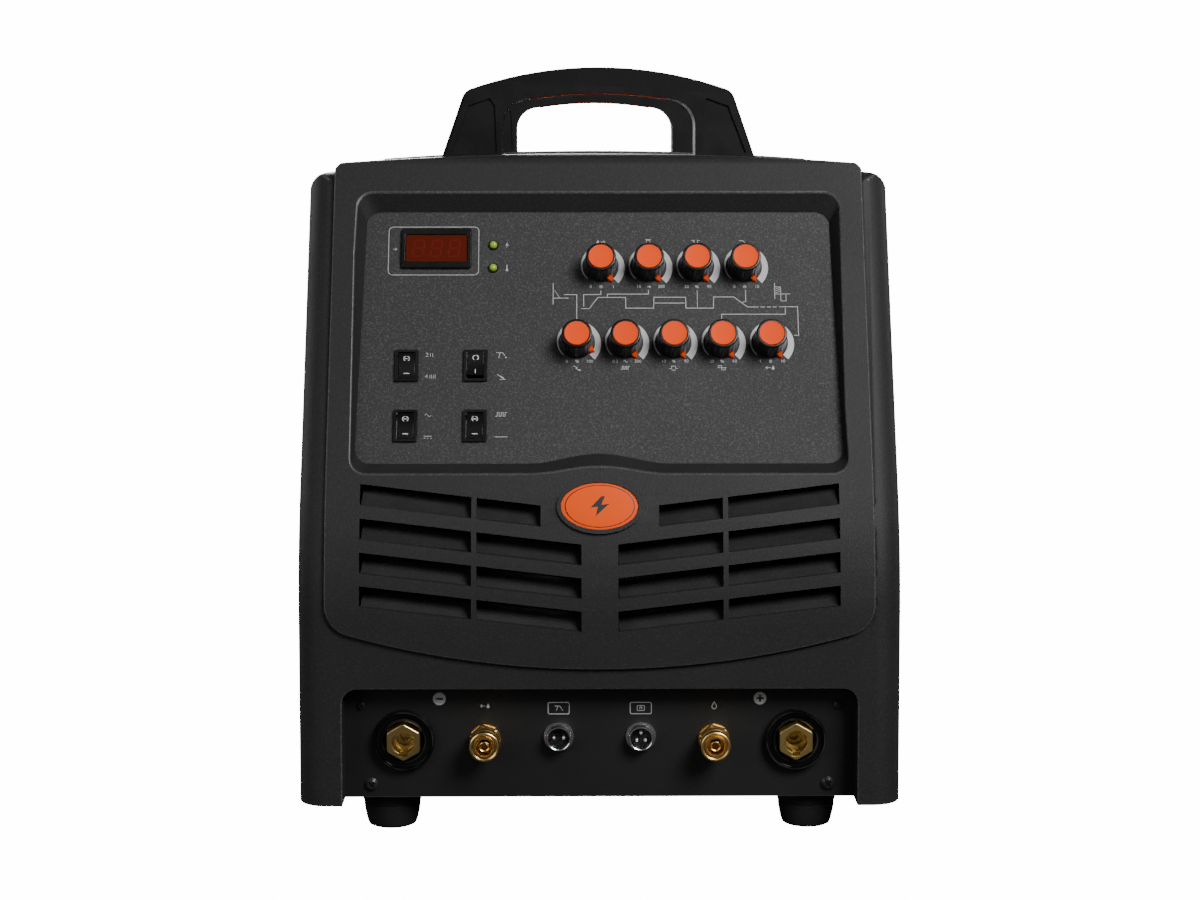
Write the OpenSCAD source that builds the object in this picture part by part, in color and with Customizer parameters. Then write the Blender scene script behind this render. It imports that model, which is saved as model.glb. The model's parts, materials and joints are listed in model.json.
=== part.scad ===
// TIG welding power source, AC/DC, 300 A class.
// Millimetres, +Z up, front of the machine toward -Y, feet on Z = 0.
// Every sub-part is one module. The list NODES names them all.
// Inside the modules Y runs from the front plane (0) to the rear plane (case_l).

/* [Case] */
// Width over the moulded shoulders
case_w = 380; // [370:1:390]
// Length from the front plane to the rear plane
case_l = 580; // [560:1:620]
// Highest point of the crowned bezel top
case_top = 430; // [426:0.5:434]
// Height of the shoulders beside the raised shield
shoulder_top = 418; // [414:0.5:420]
// Moulding wall thickness
wall = 3; // [2.5:0.1:3.5]
// Sheet metal thickness
sheet = 1.5; // [1:0.1:2]
// Height of the rubber feet
foot_h = 24; // [20:0.5:28]

/* [Front face] */
// Lean of the lower face from vertical, degrees
low_tilt = 3; // [2:0.5:5]
// Lean of the control panel from vertical, degrees
panel_tilt = 24.5; // [22:0.5:26]
// Height where the face starts to bend back
bend_lo = 140; // [136:1:144]
// Height where the bend ends and the flat slope starts
bend_hi = 228; // [226:0.5:230]
// Depth of the front bezel
front_depth = 165; // [160:1:172]
// Width of the raised shield between the shoulders
shield_w = 344; // [340:1:348]
// Height of the step between shoulder and shield
step_h = 3; // [2:0.1:4]

/* [Control recess] */
// Half width of the recess at the face
recess_x = 156.7; // [154:0.1:159]
// Length of the recess along the slope
recess_s = 191; // [189:0.5:193]
// Depth of the recess, square to the slope
recess_d = 9; // [7:0.1:10]

/* [Grille] */
// Height of one slot
slot_h = 12.7; // [11:0.1:14]
// Distance between slot rows
slot_pitch = 20.6; // [20:0.1:21]
// Fall of the slots toward the middle, mm per mm
slot_fall = 0.115; // [0.1:0.005:0.125]

/* [Socket bay] */
// Width of the bay
bay_w = 323; // [318:1:326]
// Height of the bay roof above the floor
bay_top = 98; // [96:0.5:102]
// Set-back of the socket panel
bay_d = 24; // [22:0.5:28]
// Welding sockets, distance from the middle
socket_x = 124; // [120:0.5:126]
// Gas and water outlets, distance from the middle
outlet_x = 72.5; // [68:0.5:76]
// Control connectors, distance from the middle
plug_x = 26; // [24:0.5:30]
// Height of the socket row
socket_z = 62; // [58:0.5:66]

/* [Knobs] */
// Distance between knobs
knob_pitch = 31; // [30:0.1:31.5]
// Outer diameter of the knob body
knob_d = 19; // [18:0.1:20]
// Height of the knob above the panel
knob_h = 18; // [16:0.5:20]
// Potentiometer shaft diameter
shaft_d = 6; // [6:0.1:6.3]

/* [Handles] */
// Width of a handle at its base
handle_w = 206; // [200:1:210]
// Height of a handle above the bezel top
handle_h = 56; // [52:0.5:60]
// Depth of the handle bar
handle_d = 36; // [32:1:38]
// Front handle, centre behind the front plane
handle_y1 = 141; // [139:0.5:143]
// Rear handle, centre behind the front plane
handle_y2 = 521; // [516:0.5:524]

/* [Rear] */
// Lean of the upper rear face, degrees
rear_tilt = 4; // [3:0.5:5]
// Depth of the rear bezel
rear_depth = 110; // [104:1:116]
// Set-back of the rear panel
rear_d = 24; // [22:0.5:26]
// Fan diameter
fan_d = 140; // [130:1:144]
// Height of the fan centre
fan_z = 214; // [210:1:220]

/* [Part to draw] */
// One sub-part, or all of them

/* [Hidden] */
$fn = 48;
half_w = case_w / 2;
shield_x = shield_w / 2;
rear_y = case_l - rear_d;
bend_r = (bend_hi - bend_lo) / (sin(panel_tilt) - sin(low_tilt));
bend_y = (bend_lo - foot_h) * tan(low_tilt);
// Where the flat slope starts, behind the front plane
slope_y = bend_y + bend_r * (cos(low_tilt) - cos(panel_tilt));
crown_r = 2369;
smile_r = 592;
smile_z = 111;
knob_row = [["pregas", 1.2, 146.3, -55], ["peak", 1.2 + knob_pitch, 146.3, -55],
    ["base", 1.2 + 2 * knob_pitch, 146.3, -55], ["slope", 1.2 + 3 * knob_pitch, 146.3, -55],
    ["force", -14.3, 94, -30], ["frequency", -14.3 + knob_pitch, 94, -55],
    ["width", -14.3 + 2 * knob_pitch, 94, -55], ["balance", -14.3 + 3 * knob_pitch, 94, -55],
    ["postgas", -14.3 + 4 * knob_pitch, 94, -55]];
// Rockers: x, distance up the slope, which end is pressed
rocker_at = [[-123, 78.1, 1], [-79, 78.1, -1], [-123, 37.7, 1], [-79, 37.7, 1]];
lamp_at = [[-68.4, 161], [-68.4, 145.2]];
// Socket panel screws: x, z, head radius
screw_at = [[-145, 33, 4.3], [145, 33, 4.3], [-151, 84, 2.7], [151, 84, 2.7]];
rear_screw_at = [[-141, 51], [141, 51], [-141, 381], [141, 381]];
bolt_x = 82;
bolt_dy = 9;
foot_at = [[-134, 52], [134, 52], [-134, case_l - 60], [134, case_l - 60]];
charcoal = [0.09, 0.09, 0.1];
orange = [0.93, 0.36, 0.12];
brass = [0.72, 0.56, 0.24];
steel = [0.6, 0.61, 0.63];

// ---- outlines -------------------------------------------------------------

function arc(cx, cy, r, a0, a1, n) =
    [for (i = [0:n]) let(a = a0 + (a1 - a0) * i / n) [cx + r * cos(a), cy + r * sin(a)]];

function rrect(x0, y0, x1, y1, r, n = 5) = concat(
    arc(x1 - r, y1 - r, r, 0, 90, n), arc(x0 + r, y1 - r, r, 90, 180, n),
    arc(x0 + r, y0 + r, r, 180, 270, n), arc(x1 - r, y0 + r, r, 270, 360, n));

function oval(a, b, n = 40) = [for (i = [0:n - 1]) [a * cos(360 * i / n), b * sin(360 * i / n)]];

function crown(x) = case_top - x * x / (2 * crown_r);

// Side view of a bezel, moved inward by w: lower face, bend, slope, rounded top edge
function side_profile(w, depth, t0, t1, zb, zt, rt) =
    let(r = (bend_hi - bend_lo) / (sin(t1) - sin(t0)),
        cy = (bend_lo - foot_h) * tan(t0) + r * cos(t0),
        cz = bend_lo - r * sin(t0),
        y2 = cy - r * cos(t1),
        zc = zt - rt,
        yc = y2 + (zc - bend_hi) * tan(t1) + rt / cos(t1))
    concat([[depth, zb], [(zb - foot_h) * tan(t0) + w / cos(t0), zb]],
        arc(cy, cz, r - w, 180 - t0, 180 - t1, 10),
        arc(yc, zc, rt - w, 180 - t1, 90, 6), [[depth, zt - w]]);

// Front view of the shoulders, moved inward by w
function shoulder_outline(w, zb) =
    let(x = half_w - w, zt = shoulder_top - w)
    concat([[x, zb]], arc(x - 14 + w, zt - 14 + w, 14 - w, 0, 90, 6),
        arc(-x + 14 - w, zt - 14 + w, 14 - w, 90, 180, 6), [[-x, zb]]);

// Front view of the shield: crowned top, chamfered corners, curved lower edge
function shield_outline(w) =
    let(x = shield_x - w, rc = 20 - w, zm = smile_z + smile_r,
        cx = x - rc, cz = zm - sqrt(pow(smile_r - w - rc, 2) - cx * cx),
        a = atan2(cz - zm, cx))
    concat(arc(cx, cz, rc, 0, a, 6), arc(0, zm, smile_r - w, a, -180 - a, 24),
        arc(-cx, cz, rc, -180 - a, -180, 6), [[-x, shoulder_top + 2.5 - w]],
        [for (i = [-8:8]) let(u = (x - 3.5) * i / 8) [u, crown(u) - w]],
        [[x, shoulder_top + 2.5 - w]]);

// Rear lower edge of the control recess rises over the badge
function hump(x, h) = abs(x) < 45 ? h * (1 + cos(180 * x / 45)) / 2 : 0;

// Outline of the recess at a height h above the slope (h = -recess_d is the floor)
function recess_ring(h) =
    let(k = -h / recess_d, xt = recess_x - 6.2 * k, xb = recess_x - 2.2 * k,
        s0 = 3.5 + 9.8 * k, s1 = 3.5 + recess_s - 10.7 * k, r = 10, b = 5 + 1.6 * k)
    concat(arc(xt - r, s1 - r, r, 0, 90, 6), arc(-xt + r, s1 - r, r, 90, 180, 6),
        arc(-xb + r, s0 + r, r, 180, 270, 6),
        [for (i = [-8:8]) [45 * i / 8, s0 + hump(45 * i / 8, b)]],
        arc(xb - r, s0 + r, r, 270, 360, 6));

// Solid between two outlines with the same number of points, both seen whole from c
module loft(a, za, b, zb, c) {
    n = len(a);
    polyhedron(
        points = concat([for (p = a) [p[0], p[1], za]], [for (p = b) [p[0], p[1], zb]],
            [[c[0], c[1], za], [c[0], c[1], zb]]),
        faces = concat([for (i = [0:n - 1]) [2 * n, i, (i + 1) % n]],
            [for (i = [0:n - 1]) [2 * n + 1, n + (i + 1) % n, n + i]],
            [for (i = [0:n - 1]) [i, n + i, (i + 1) % n]],
            [for (i = [0:n - 1]) [(i + 1) % n, n + i, n + (i + 1) % n]]));
}

// ---- placing --------------------------------------------------------------

module placed() {
    translate([0, -case_l / 2, 0]) children();
}

// Local x across, y up the slope, z out of the sloped face
module on_slope(x, s, h) {
    translate([0, slope_y, bend_hi]) rotate([90 - panel_tilt, 0, 0]) translate([x, s, h]) children();
}

// Local x across, y up, z toward the front, at depth y
module facing_front(x, y, z) {
    translate([x, y, z]) rotate([90, 0, 0]) children();
}

// Local x across (mirrored), y up, z toward the rear, at depth y
module facing_rear(x, y, z) {
    translate([x, y, z]) rotate([90, 0, 180]) children();
}

module along_x(w) {
    rotate([90, 0, 90]) translate([0, 0, -w / 2]) linear_extrude(w) children();
}

module along_y(y0, y1) {
    translate([0, y1, 0]) rotate([90, 0, 0]) linear_extrude(y1 - y0) children();
}

module ring(ro, ri, h) {
    difference() {
        cylinder(r = ro, h = h);
        translate([0, 0, -1]) cylinder(r = ri, h = h + 2);
    }
}

module hexagon(af, h) {
    cylinder(r = af / sqrt(3), h = h, $fn = 6);
}

// ---- bezels ---------------------------------------------------------------

// Block with front corners rounded in plan, its edge following one lean of the face
module corner_block(w, r, tilt, y, z) {
    translate([0, y, z]) rotate([-tilt, 0, 0]) translate([0, 0, -520])
        linear_extrude(1040)
            polygon(concat([[half_w - w, 400]], [[-half_w + w, 400]],
                arc(-half_w + w + r, w + step_h + r, r, 180, 270, 6),
                arc(half_w - w - r, w + step_h + r, r, 270, 360, 6)));
}

// Corner block that touches the bend where the face has lean t
module leaning_block(w, t, t0, t1) {
    r = (bend_hi - bend_lo) / (sin(t1) - sin(t0));
    corner_block(w, 18 - w, t, (bend_lo - foot_h) * tan(t0) + r * (cos(t0) - cos(t)),
        bend_lo + r * (sin(t) - sin(t0)));
}

// Body over the full width, without the raised shield
module shoulders(w, depth, t0, t1, zb) {
    intersection() {
        along_x(case_w + 10)
            polygon(side_profile(w + step_h, depth, t0, t1, zb, shoulder_top + step_h, 16));
        along_y(-5, depth) polygon(shoulder_outline(w, zb));
        leaning_block(w, t0, t0, t1);
        leaning_block(w, t0 + (t1 - t0) / 4, t0, t1);
        leaning_block(w, t0 + (t1 - t0) / 2, t0, t1);
        leaning_block(w, t1 - (t1 - t0) / 4, t0, t1);
        leaning_block(w, t1, t0, t1);
    }
}

module shield(w, depth, t0, t1) {
    intersection() {
        along_x(shield_w + 10)
            polygon(side_profile(w, depth, t0, t1, foot_h + 20, case_top, 12));
        along_y(-5, depth) polygon(shield_outline(w));
    }
}

module bezel_shell(depth, t0, t1) {
    difference() {
        union() {
            shoulders(0, depth, t0, t1, foot_h);
            shield(0, depth, t0, t1);
        }
        shoulders(wall, depth + 1, t0, t1, foot_h - 1);
        shield(wall, depth - 10, t0, t1);
    }
}

function slot_z(row, x) = 225.3 - slot_pitch * row - slot_fall * (150 - x);
function slot_in(row) = row == 0 ? 37 : 11.5;

module slot_cuts() {
    for (side = [-1, 1], row = [0:3])
        for (span = [[slot_in(row), 77], [80.3, 150]])
            along_y(-3, 46 - 7 * row)
                polygon([for (p = [[0, 0], [1, 0], [1, 1], [0, 1]])
                    let(x = span[p[0]]) [side * x, slot_z(row, x) - slot_h * p[1]]]);
}

module slot_blades() {
    fall = atan(slot_fall);
    for (side = [-1, 1], row = [0:3]) {
        z = slot_z(row, 80) - slot_h;
        y = 22.3 - 5.6 * row + 0.55 * row * row;
        translate([side * 80, y, z]) rotate([0, -side * fall, 0])
            translate([side * (slot_in(row) - 10) / 2, 0, 0])
                along_x(150 - slot_in(row) - 0.5)
                    polygon([[0, -2.4], [2.4, -2.4], [13, 6.6], [13, 9], [11.4, 9], [0, 0]]);
    }
    for (side = [-1, 1])
        along_x_at(side * 78.65, 3.3)
            polygon([[26, 222], [34, 214], [24, 140], [8.5, 132], [7, 142], [9, 166], [16, 196]]);
}

module along_x_at(x, w) {
    translate([x, 0, 0]) along_x(w) children();
}

module recess_block() {
    intersection() {
        shield(0.5, front_depth, low_tilt, panel_tilt);
        on_slope(0, 0, -recess_d)
            linear_extrude(recess_d + 10) polygon(rrect(-162, 0.5, 162, 197.5, 12));
    }
}

module bay_outline(g) {
    polygon(concat([[bay_w / 2 + g, foot_h - 2]],
        arc(bay_w / 2 - 9, bay_top - 9, 9 + g, 0, 90, 6),
        arc(-bay_w / 2 + 9, bay_top - 9, 9 + g, 90, 180, 6), [[-bay_w / 2 - g, foot_h - 2]]));
}

module bay_tub() {
    intersection() {
        shoulders(0.5, front_depth, low_tilt, panel_tilt, foot_h);
        along_y(0, bay_d) bay_outline(wall);
    }
}

// Posts inside the bezel that take the handle bolts
module handle_posts(y) {
    for (x = [-bolt_x, bolt_x], dy = [-bolt_dy, bolt_dy])
        translate([x, y + dy, case_top - 18]) cylinder(r = 6, h = 14.5);
}

module handle_bolt_holes(y, r) {
    for (x = [-bolt_x, bolt_x], dy = [-bolt_dy, bolt_dy])
        translate([x, y + dy, case_top - 24]) cylinder(r = r, h = 40);
}

// Counterbored holes for the screws that hold bezel and cover together
module side_holes(y) {
    for (s = [-1, 1], z = [60, 300])
        translate([s * (half_w + 1), y, z]) rotate([0, -s * 90, 0]) {
            cylinder(r = 2.2, h = 8);
            cylinder(r = 4.5, h = 2.7);
        }
}

badge_z = 211.7;
badge_tilt = asin(sin(low_tilt) + (badge_z - bend_lo) / bend_r);
badge_y = bend_y + bend_r * (cos(low_tilt) - cos(badge_tilt));

module on_badge(h) {
    translate([0, badge_y, badge_z]) rotate([90 - badge_tilt, 0, 0]) translate([0, 0, h]) children();
}

module front_bezel() color(charcoal) {
    difference() {
        union() {
            difference() {
                union() {
                    bezel_shell(front_depth, low_tilt, panel_tilt);
                    recess_block();
                    bay_tub();
                    handle_posts(handle_y1);
                }
                slot_cuts();
            }
            slot_blades();
            on_badge(-2) linear_extrude(3.6) polygon(oval(27, 17.8));
        }
        on_badge(0.2) linear_extrude(3) polygon(oval(24.4, 15.1));
        on_slope(0, 0, 0)
            loft(recess_ring(-recess_d), -recess_d, recess_ring(2.5), 2.5, [0, 100]);
        on_slope(0, 0, -recess_d - 8) linear_extrude(9) polygon(recess_ring(-recess_d));
        along_y(-10, bay_d + 1) bay_outline(0);
        handle_bolt_holes(handle_y1, 3.2);
        side_holes(front_depth - 4);
    }
}

module rear_bezel() color(charcoal) {
    translate([0, case_l, 0]) mirror([0, 1, 0]) difference() {
        union() {
            bezel_shell(rear_depth, 1.5, rear_tilt);
            intersection() {
                union() {
                    shoulders(0.5, rear_depth, 1.5, rear_tilt, foot_h);
                    shield(0.5, rear_depth, 1.5, rear_tilt);
                }
                along_y(0, rear_d) polygon(rrect(-156, 36, 156, 396, 13));
            }
            handle_posts(case_l - handle_y2);
        }
        handle_bolt_holes(case_l - handle_y2, 3.2);
        along_y(-10, rear_d + 1) polygon(rrect(-150, 42, 150, 390, 10));
        side_holes(rear_depth - 4);
    }
}

// ---- sheet metal ----------------------------------------------------------

module base_plate() color(steel) {
    x = half_w - wall - sheet - 0.6;
    difference() {
        union() {
            translate([-x, bay_d + sheet, foot_h]) cube([2 * x, rear_y - bay_d - 2 * sheet - 1, 2]);
            for (s = [-1, 1])
                translate([s * (x - 0.75) - 0.75, 40, foot_h]) cube([1.5, case_l - 80, 20]);
            for (y = [150, 290, 440])
                translate([-120, y, foot_h + 1]) cube([240, 16, 4]);
        }
        for (p = foot_at)
            translate([p[0], p[1], foot_h - 1]) cylinder(r = 3.1, h = 8);
        for (x = [-90:20:90], y = [180, 210, 240])
            translate([x - 6, y, foot_h - 1]) cube([12, 4, 5]);
        for (x = [-100, 100], y = [330, 400])
            translate([x, y, foot_h - 1]) cylinder(r = 2.6, h = 8);
    }
}

module cover() color([0.12, 0.12, 0.13]) {
    y0 = front_depth - 8;
    y1 = case_l - rear_depth + 8;
    difference() {
        along_y(y0, y1) difference() {
            polygon(shoulder_outline(wall, foot_h + 2.2));
            polygon(shoulder_outline(wall + sheet, foot_h + 1));
        }
        for (s = [-1, 1], col = [0, 1], row = [0:7])
            translate([s * (half_w - wall) - 4, 205 + 130 * col, 150 + 14 * row])
                cube([8, 96, 5]);
        for (s = [-1, 1], y = [y0 + 4, y1 - 4], z = [60, 300])
            translate([s * half_w, y, z]) rotate([0, -s * 90, 0]) cylinder(r = 2.2, h = 8);
    }
    for (s = [-1, 1], col = [0, 1], row = [0:7])
        translate([s * (half_w - wall), 205 + 130 * col + 48, 150 + 14 * row])
            rotate([90, 0, 0]) translate([0, 0, -48]) linear_extrude(96)
                polygon([[-s * 1.5, 5], [0, 5], [s * 1.9, 1], [s * 1.9, 0], [s * 1.1, 0],
                    [s * 1.1, 0.6], [-s * 1.5, 3.6]]);
}

module socket_panel() color([0.1, 0.1, 0.11]) {
    difference() {
        union() {
            along_y(bay_d, bay_d + sheet) polygon(rrect(-168, foot_h + 1, 168, 128, 4));
            translate([-150, bay_d, foot_h + 2]) cube([300, 14, sheet]);
        }
        for (s = [-1, 1]) {
            facing_front(s * socket_x, bay_d + 3, socket_z) cylinder(r = 15.2, h = 6);
            facing_front(s * outlet_x, bay_d + 3, socket_z) cylinder(r = 6.6, h = 6);
            facing_front(s * plug_x, bay_d + 3, socket_z + 2) cylinder(r = 8.1, h = 6);
        }
        for (p = screw_at)
            facing_front(p[0], bay_d + 3, p[1]) cylinder(r = p[2] / 2 - 0.3, h = 6);
    }
}

module rear_panel() color([0.1, 0.1, 0.11]) {
    difference() {
        along_y(rear_y - sheet, rear_y) polygon(rrect(-158, 38, 158, 394, 4));
        facing_rear(0, rear_y - 4, fan_z) cylinder(r = fan_d / 2 - 1, h = 8);
        for (x = [-1, 1], z = [-1, 1])
            facing_rear(x * 66, rear_y - 4, fan_z + z * 66) cylinder(r = 2.2, h = 8);
        facing_rear(-90, rear_y - 4, 345) linear_extrude(8) square([46, 60], center = true);
        facing_rear(100, rear_y - 4, 80) cylinder(r = 12.2, h = 8);
        facing_rear(-100, rear_y - 4, 80) cylinder(r = 6.3, h = 8);
        for (p = rear_screw_at)
            facing_rear(p[0], rear_y - 4, p[1]) cylinder(r = 1.6, h = 8);
    }
}

// ---- controls -------------------------------------------------------------

module control_panel() color([0.13, 0.13, 0.14]) {
    difference() {
        on_slope(0, 0, -recess_d - sheet)
            linear_extrude(sheet) polygon(rrect(-160, 6, 160, 191, 6));
        on_slope(-105.3, 158.4, -recess_d - 4) linear_extrude(8) square([42, 24], center = true);
        for (k = knob_row)
            on_slope(k[1], k[2], -recess_d - 4) cylinder(r = 3.7, h = 8);
        for (r = rocker_at)
            on_slope(r[0], r[1], -recess_d - 4) linear_extrude(8) square([13.2, 19.4], center = true);
        for (l = lamp_at)
            on_slope(l[0], l[1], -recess_d - 4) cylinder(r = 2.6, h = 8);
        for (x = [-156.8, 156.8], s = [30, 100, 170])
            on_slope(x, s, -recess_d - 4) cylinder(r = 1.6, h = 8);
    }
}

module badge() color(orange) {
    on_badge(0.2) linear_extrude(1.2) polygon(oval(24.3, 15));
    difference() {
        on_badge(1.3) linear_extrude(0.7) polygon(oval(22.6, 13.4));
        on_badge(1.9) linear_extrude(1) polygon(oval(21.4, 12.2));
    }
}

module display_bezel() color([0.05, 0.05, 0.05]) {
    on_slope(-105.3, 158.4, -recess_d) difference() {
        union() {
            linear_extrude(2.4) polygon(rrect(-22.8, -13.8, 22.8, 13.8, 2));
            translate([0, 0, -16]) linear_extrude(17) polygon(rrect(-20.8, -11.8, 20.8, 11.8, 1));
        }
        translate([0, 0, 0.4]) linear_extrude(4) polygon(rrect(-19.9, -9.35, 19.9, 9.35, 1));
        translate([0, 0, -14]) linear_extrude(16) polygon(rrect(-18.6, -8.6, 18.6, 8.6, 1));
    }
}

// Seven-segment digit outlines lie under the window
module display_window() color([0.45, 0.08, 0.06]) {
    on_slope(-105.3, 158.4, -recess_d) {
        translate([0, 0, 0.4]) linear_extrude(1.2) polygon(rrect(-19.85, -9.3, 19.85, 9.3, 1));
        translate([0, 0, -9]) linear_extrude(9.5) polygon(rrect(-18.5, -8.5, 18.5, 8.5, 0.8));
    }
}

module indicator_lamps() color([0.35, 0.6, 0.2]) {
    for (l = lamp_at)
        on_slope(l[0], l[1], -recess_d) {
            translate([0, 0, -7]) cylinder(r = 2.5, h = 8.2);
            translate([0, 0, 1.2]) intersection() {
                sphere(r = 2.5);
                cylinder(r = 4, h = 4);
            }
            translate([0, 0, -7]) cylinder(r = 2.9, h = 1);
        }
}

module rocker_frame() {
    difference() {
        union() {
            linear_extrude(2) polygon(rrect(-7.6, -10.6, 7.6, 10.6, 0.8));
            translate([0, 0, -14]) linear_extrude(15) square([13, 19.2], center = true);
        }
        translate([0, 0, -9]) linear_extrude(14) square([10.9, 17.7], center = true);
        translate([-6, 0, -1.6]) rotate([0, 90, 0]) cylinder(r = 1.25, h = 12);
    }
    for (y = [-5.5, 0, 5.5])
        translate([-2.4, y - 0.4, -20]) cube([4.8, 0.8, 6.5]);
}

module rocker_frames() color([0.07, 0.07, 0.07]) {
    for (r = rocker_at) on_slope(r[0], r[1], -recess_d) rocker_frame();
}

// The rocker tips 8 degrees either way about a pin in the frame
module rocker(i) color([0.05, 0.05, 0.05]) {
    r = rocker_at[i];
    on_slope(r[0], r[1], -recess_d) translate([0, 0, -1.6]) rotate([r[2] * 8, 0, 0]) {
        rotate([90, 0, 90]) translate([0, 0, -5.1]) linear_extrude(10.2)
            polygon(concat([[-8.1, 4.9]], arc(0, 27.8, 24.3, 251, 289, 8), [[8.1, 4.9], [8.1, -0.5],
                [3, -4.6], [-3, -4.6], [-8.1, -0.5]]));
        translate([-5.8, 0, 0]) rotate([0, 90, 0]) cylinder(r = 1.2, h = 11.6);
    }
}

module rocker_trigger() rocker(0);
module rocker_process() rocker(1);
module rocker_current() rocker(2);
module rocker_pulse() rocker(3);

// Knob with its shaft; the skirt covers the potentiometer nut
module knob(i) color([0.05, 0.05, 0.05]) {
    k = knob_row[i];
    on_slope(k[1], k[2], -recess_d) rotate([0, 0, k[3]]) {
        difference() {
            union() {
                translate([0, 0, 0.6]) cylinder(r1 = 10.6, r2 = 10.2, h = 2.2);
                translate([0, 0, 2.8]) cylinder(r1 = 9.9, r2 = knob_d / 2, h = knob_h - 3.6);
                translate([0, 0, knob_h - 0.8]) cylinder(r1 = knob_d / 2, r2 = knob_d / 2 - 0.8, h = 0.8);
                for (a = [15:30:345])
                    rotate([0, 0, a]) translate([9.1, 0, 2.6]) cylinder(r = 0.9, h = knob_h - 4.2);
            }
            cylinder(r = 6.6, h = 7.4);
            translate([0, 0, knob_h - 1.6]) cylinder(r = 8.05, h = 3);
            translate([8.4, -1.6, 0]) cube([4, 3.2, 2.7]);
        }
        translate([0, 0, -6]) cylinder(r = shaft_d / 2, h = 19);
    }
}

// Coloured cap and the pointer let into the skirt
module knob_cap(i) color(orange) {
    k = knob_row[i];
    on_slope(k[1], k[2], -recess_d) rotate([0, 0, k[3]]) {
        translate([0, 0, knob_h - 1.6]) cylinder(r = 8, h = 1.9);
        translate([0, 0, knob_h + 0.3]) cylinder(r1 = 8, r2 = 7.4, h = 0.5);
        translate([0, 0, 0.6]) linear_extrude(2.1) polygon([[8.4, -1.6], [10.2, -1.6], [12.6, 0],
            [10.2, 1.6], [8.4, 1.6]]);
    }
}

module knob_pregas() knob(0);
module knob_peak() knob(1);
module knob_base() knob(2);
module knob_slope() knob(3);
module knob_force() knob(4);
module knob_frequency() knob(5);
module knob_width() knob(6);
module knob_balance() knob(7);
module knob_postgas() knob(8);
module cap_pregas() knob_cap(0);
module cap_peak() knob_cap(1);
module cap_base() knob_cap(2);
module cap_slope() knob_cap(3);
module cap_force() knob_cap(4);
module cap_frequency() knob_cap(5);
module cap_width() knob_cap(6);
module cap_balance() knob_cap(7);
module cap_postgas() knob_cap(8);

module potentiometers() color([0.55, 0.55, 0.5]) {
    for (k = knob_row)
        on_slope(k[1], k[2], -recess_d - sheet) difference() {
            union() {
                translate([0, 0, -9]) cylinder(r = 8.2, h = 9);
                translate([-6, -14, -6]) cube([12, 10, 1.6]);
                cylinder(r = 3.6, h = 6.6);
                translate([0, 0, sheet]) hexagon(10, 2.2);
            }
            translate([0, 0, -7]) cylinder(r = shaft_d / 2 + 0.05, h = 20);
        }
}

module control_board() color([0.1, 0.32, 0.2]) {
    on_slope(0, 0, -recess_d - sheet - 22) {
        difference() {
            linear_extrude(1.6) polygon(rrect(-150, 14, 150, 184, 3));
            for (x = [-144, 144], s = [20, 178])
                translate([x, s, -1]) cylinder(r = 1.6, h = 4);
        }
        for (x = [-144, 144], s = [20, 178])
            translate([x, s, 1.5]) ring(3.4, 1.6, 20.5);
        for (i = [0:3])
            translate([-60 + 42 * i, 42, -6]) cube([26, 9, 6.2]);
        for (i = [0:4])
            translate([-50 + 34 * i, 68, -11]) cylinder(r = 5, h = 11.2);
        translate([-136, 60, -3]) cube([34, 34, 3.2]);
        translate([60, 120, -14]) cube([60, 20, 14.2]);
    }
}

// ---- sockets --------------------------------------------------------------

module socket_insulators() color([0.06, 0.06, 0.06]) {
    for (s = [-1, 1])
        facing_front(s * socket_x, bay_d, socket_z) difference() {
            union() {
                cylinder(r = 19.6, h = 3.5);
                translate([0, 0, 3.5]) cylinder(r1 = 19.6, r2 = 18.4, h = 3);
                translate([0, 0, -22]) cylinder(r = 15, h = 22.5);
                translate([0, 0, -7]) ring(19.5, 14.9, 4);
            }
            translate([0, 0, 2.5]) ring(17.2, 14.4, 6);
            translate([0, 0, -23]) rotate([0, 0, 30]) hexagon(21.1, 40);
        }
}

module output_sockets() color(brass) {
    for (s = [-1, 1])
        facing_front(s * socket_x, bay_d, socket_z) difference() {
            union() {
                translate([0, 0, -21]) rotate([0, 0, 30]) hexagon(21, 28.6);
                translate([0, 0, -34]) cylinder(r = 6, h = 14);
                intersection() {
                    translate([0, 0, 7.5]) rotate([0, 0, 30]) hexagon(21, 1.6);
                    translate([0, 0, 7.5]) cylinder(r1 = 12.2, r2 = 10.2, h = 1.6);
                }
            }
            translate([0, 0, -14]) cylinder(r = 6.55, h = 30);
            translate([0, 0, 8.2]) cylinder(r1 = 6.5, r2 = 7.4, h = 0.95);
            translate([-1.6, -9, -8]) cube([3.2, 9, 20]);
        }
}

module outlet_bodies() color(brass) {
    for (s = [-1, 1])
        facing_front(s * outlet_x, bay_d, socket_z) difference() {
            union() {
                cylinder(r = 10, h = 1.2);
                translate([0, 0, 1.2]) hexagon(18, 5);
                cylinder(r = 7.2, h = 22);
                translate([0, 0, -18]) cylinder(r = 6.4, h = 18.2);
                translate([0, 0, -6]) hexagon(19, 4);
                translate([0, 0, -30]) cylinder(r1 = 3.6, r2 = 4.6, h = 12);
            }
            translate([0, 0, 8]) cylinder(r = 5.05, h = 20);
            translate([0, 0, -32]) cylinder(r = 2.4, h = 50);
        }
}

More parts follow.
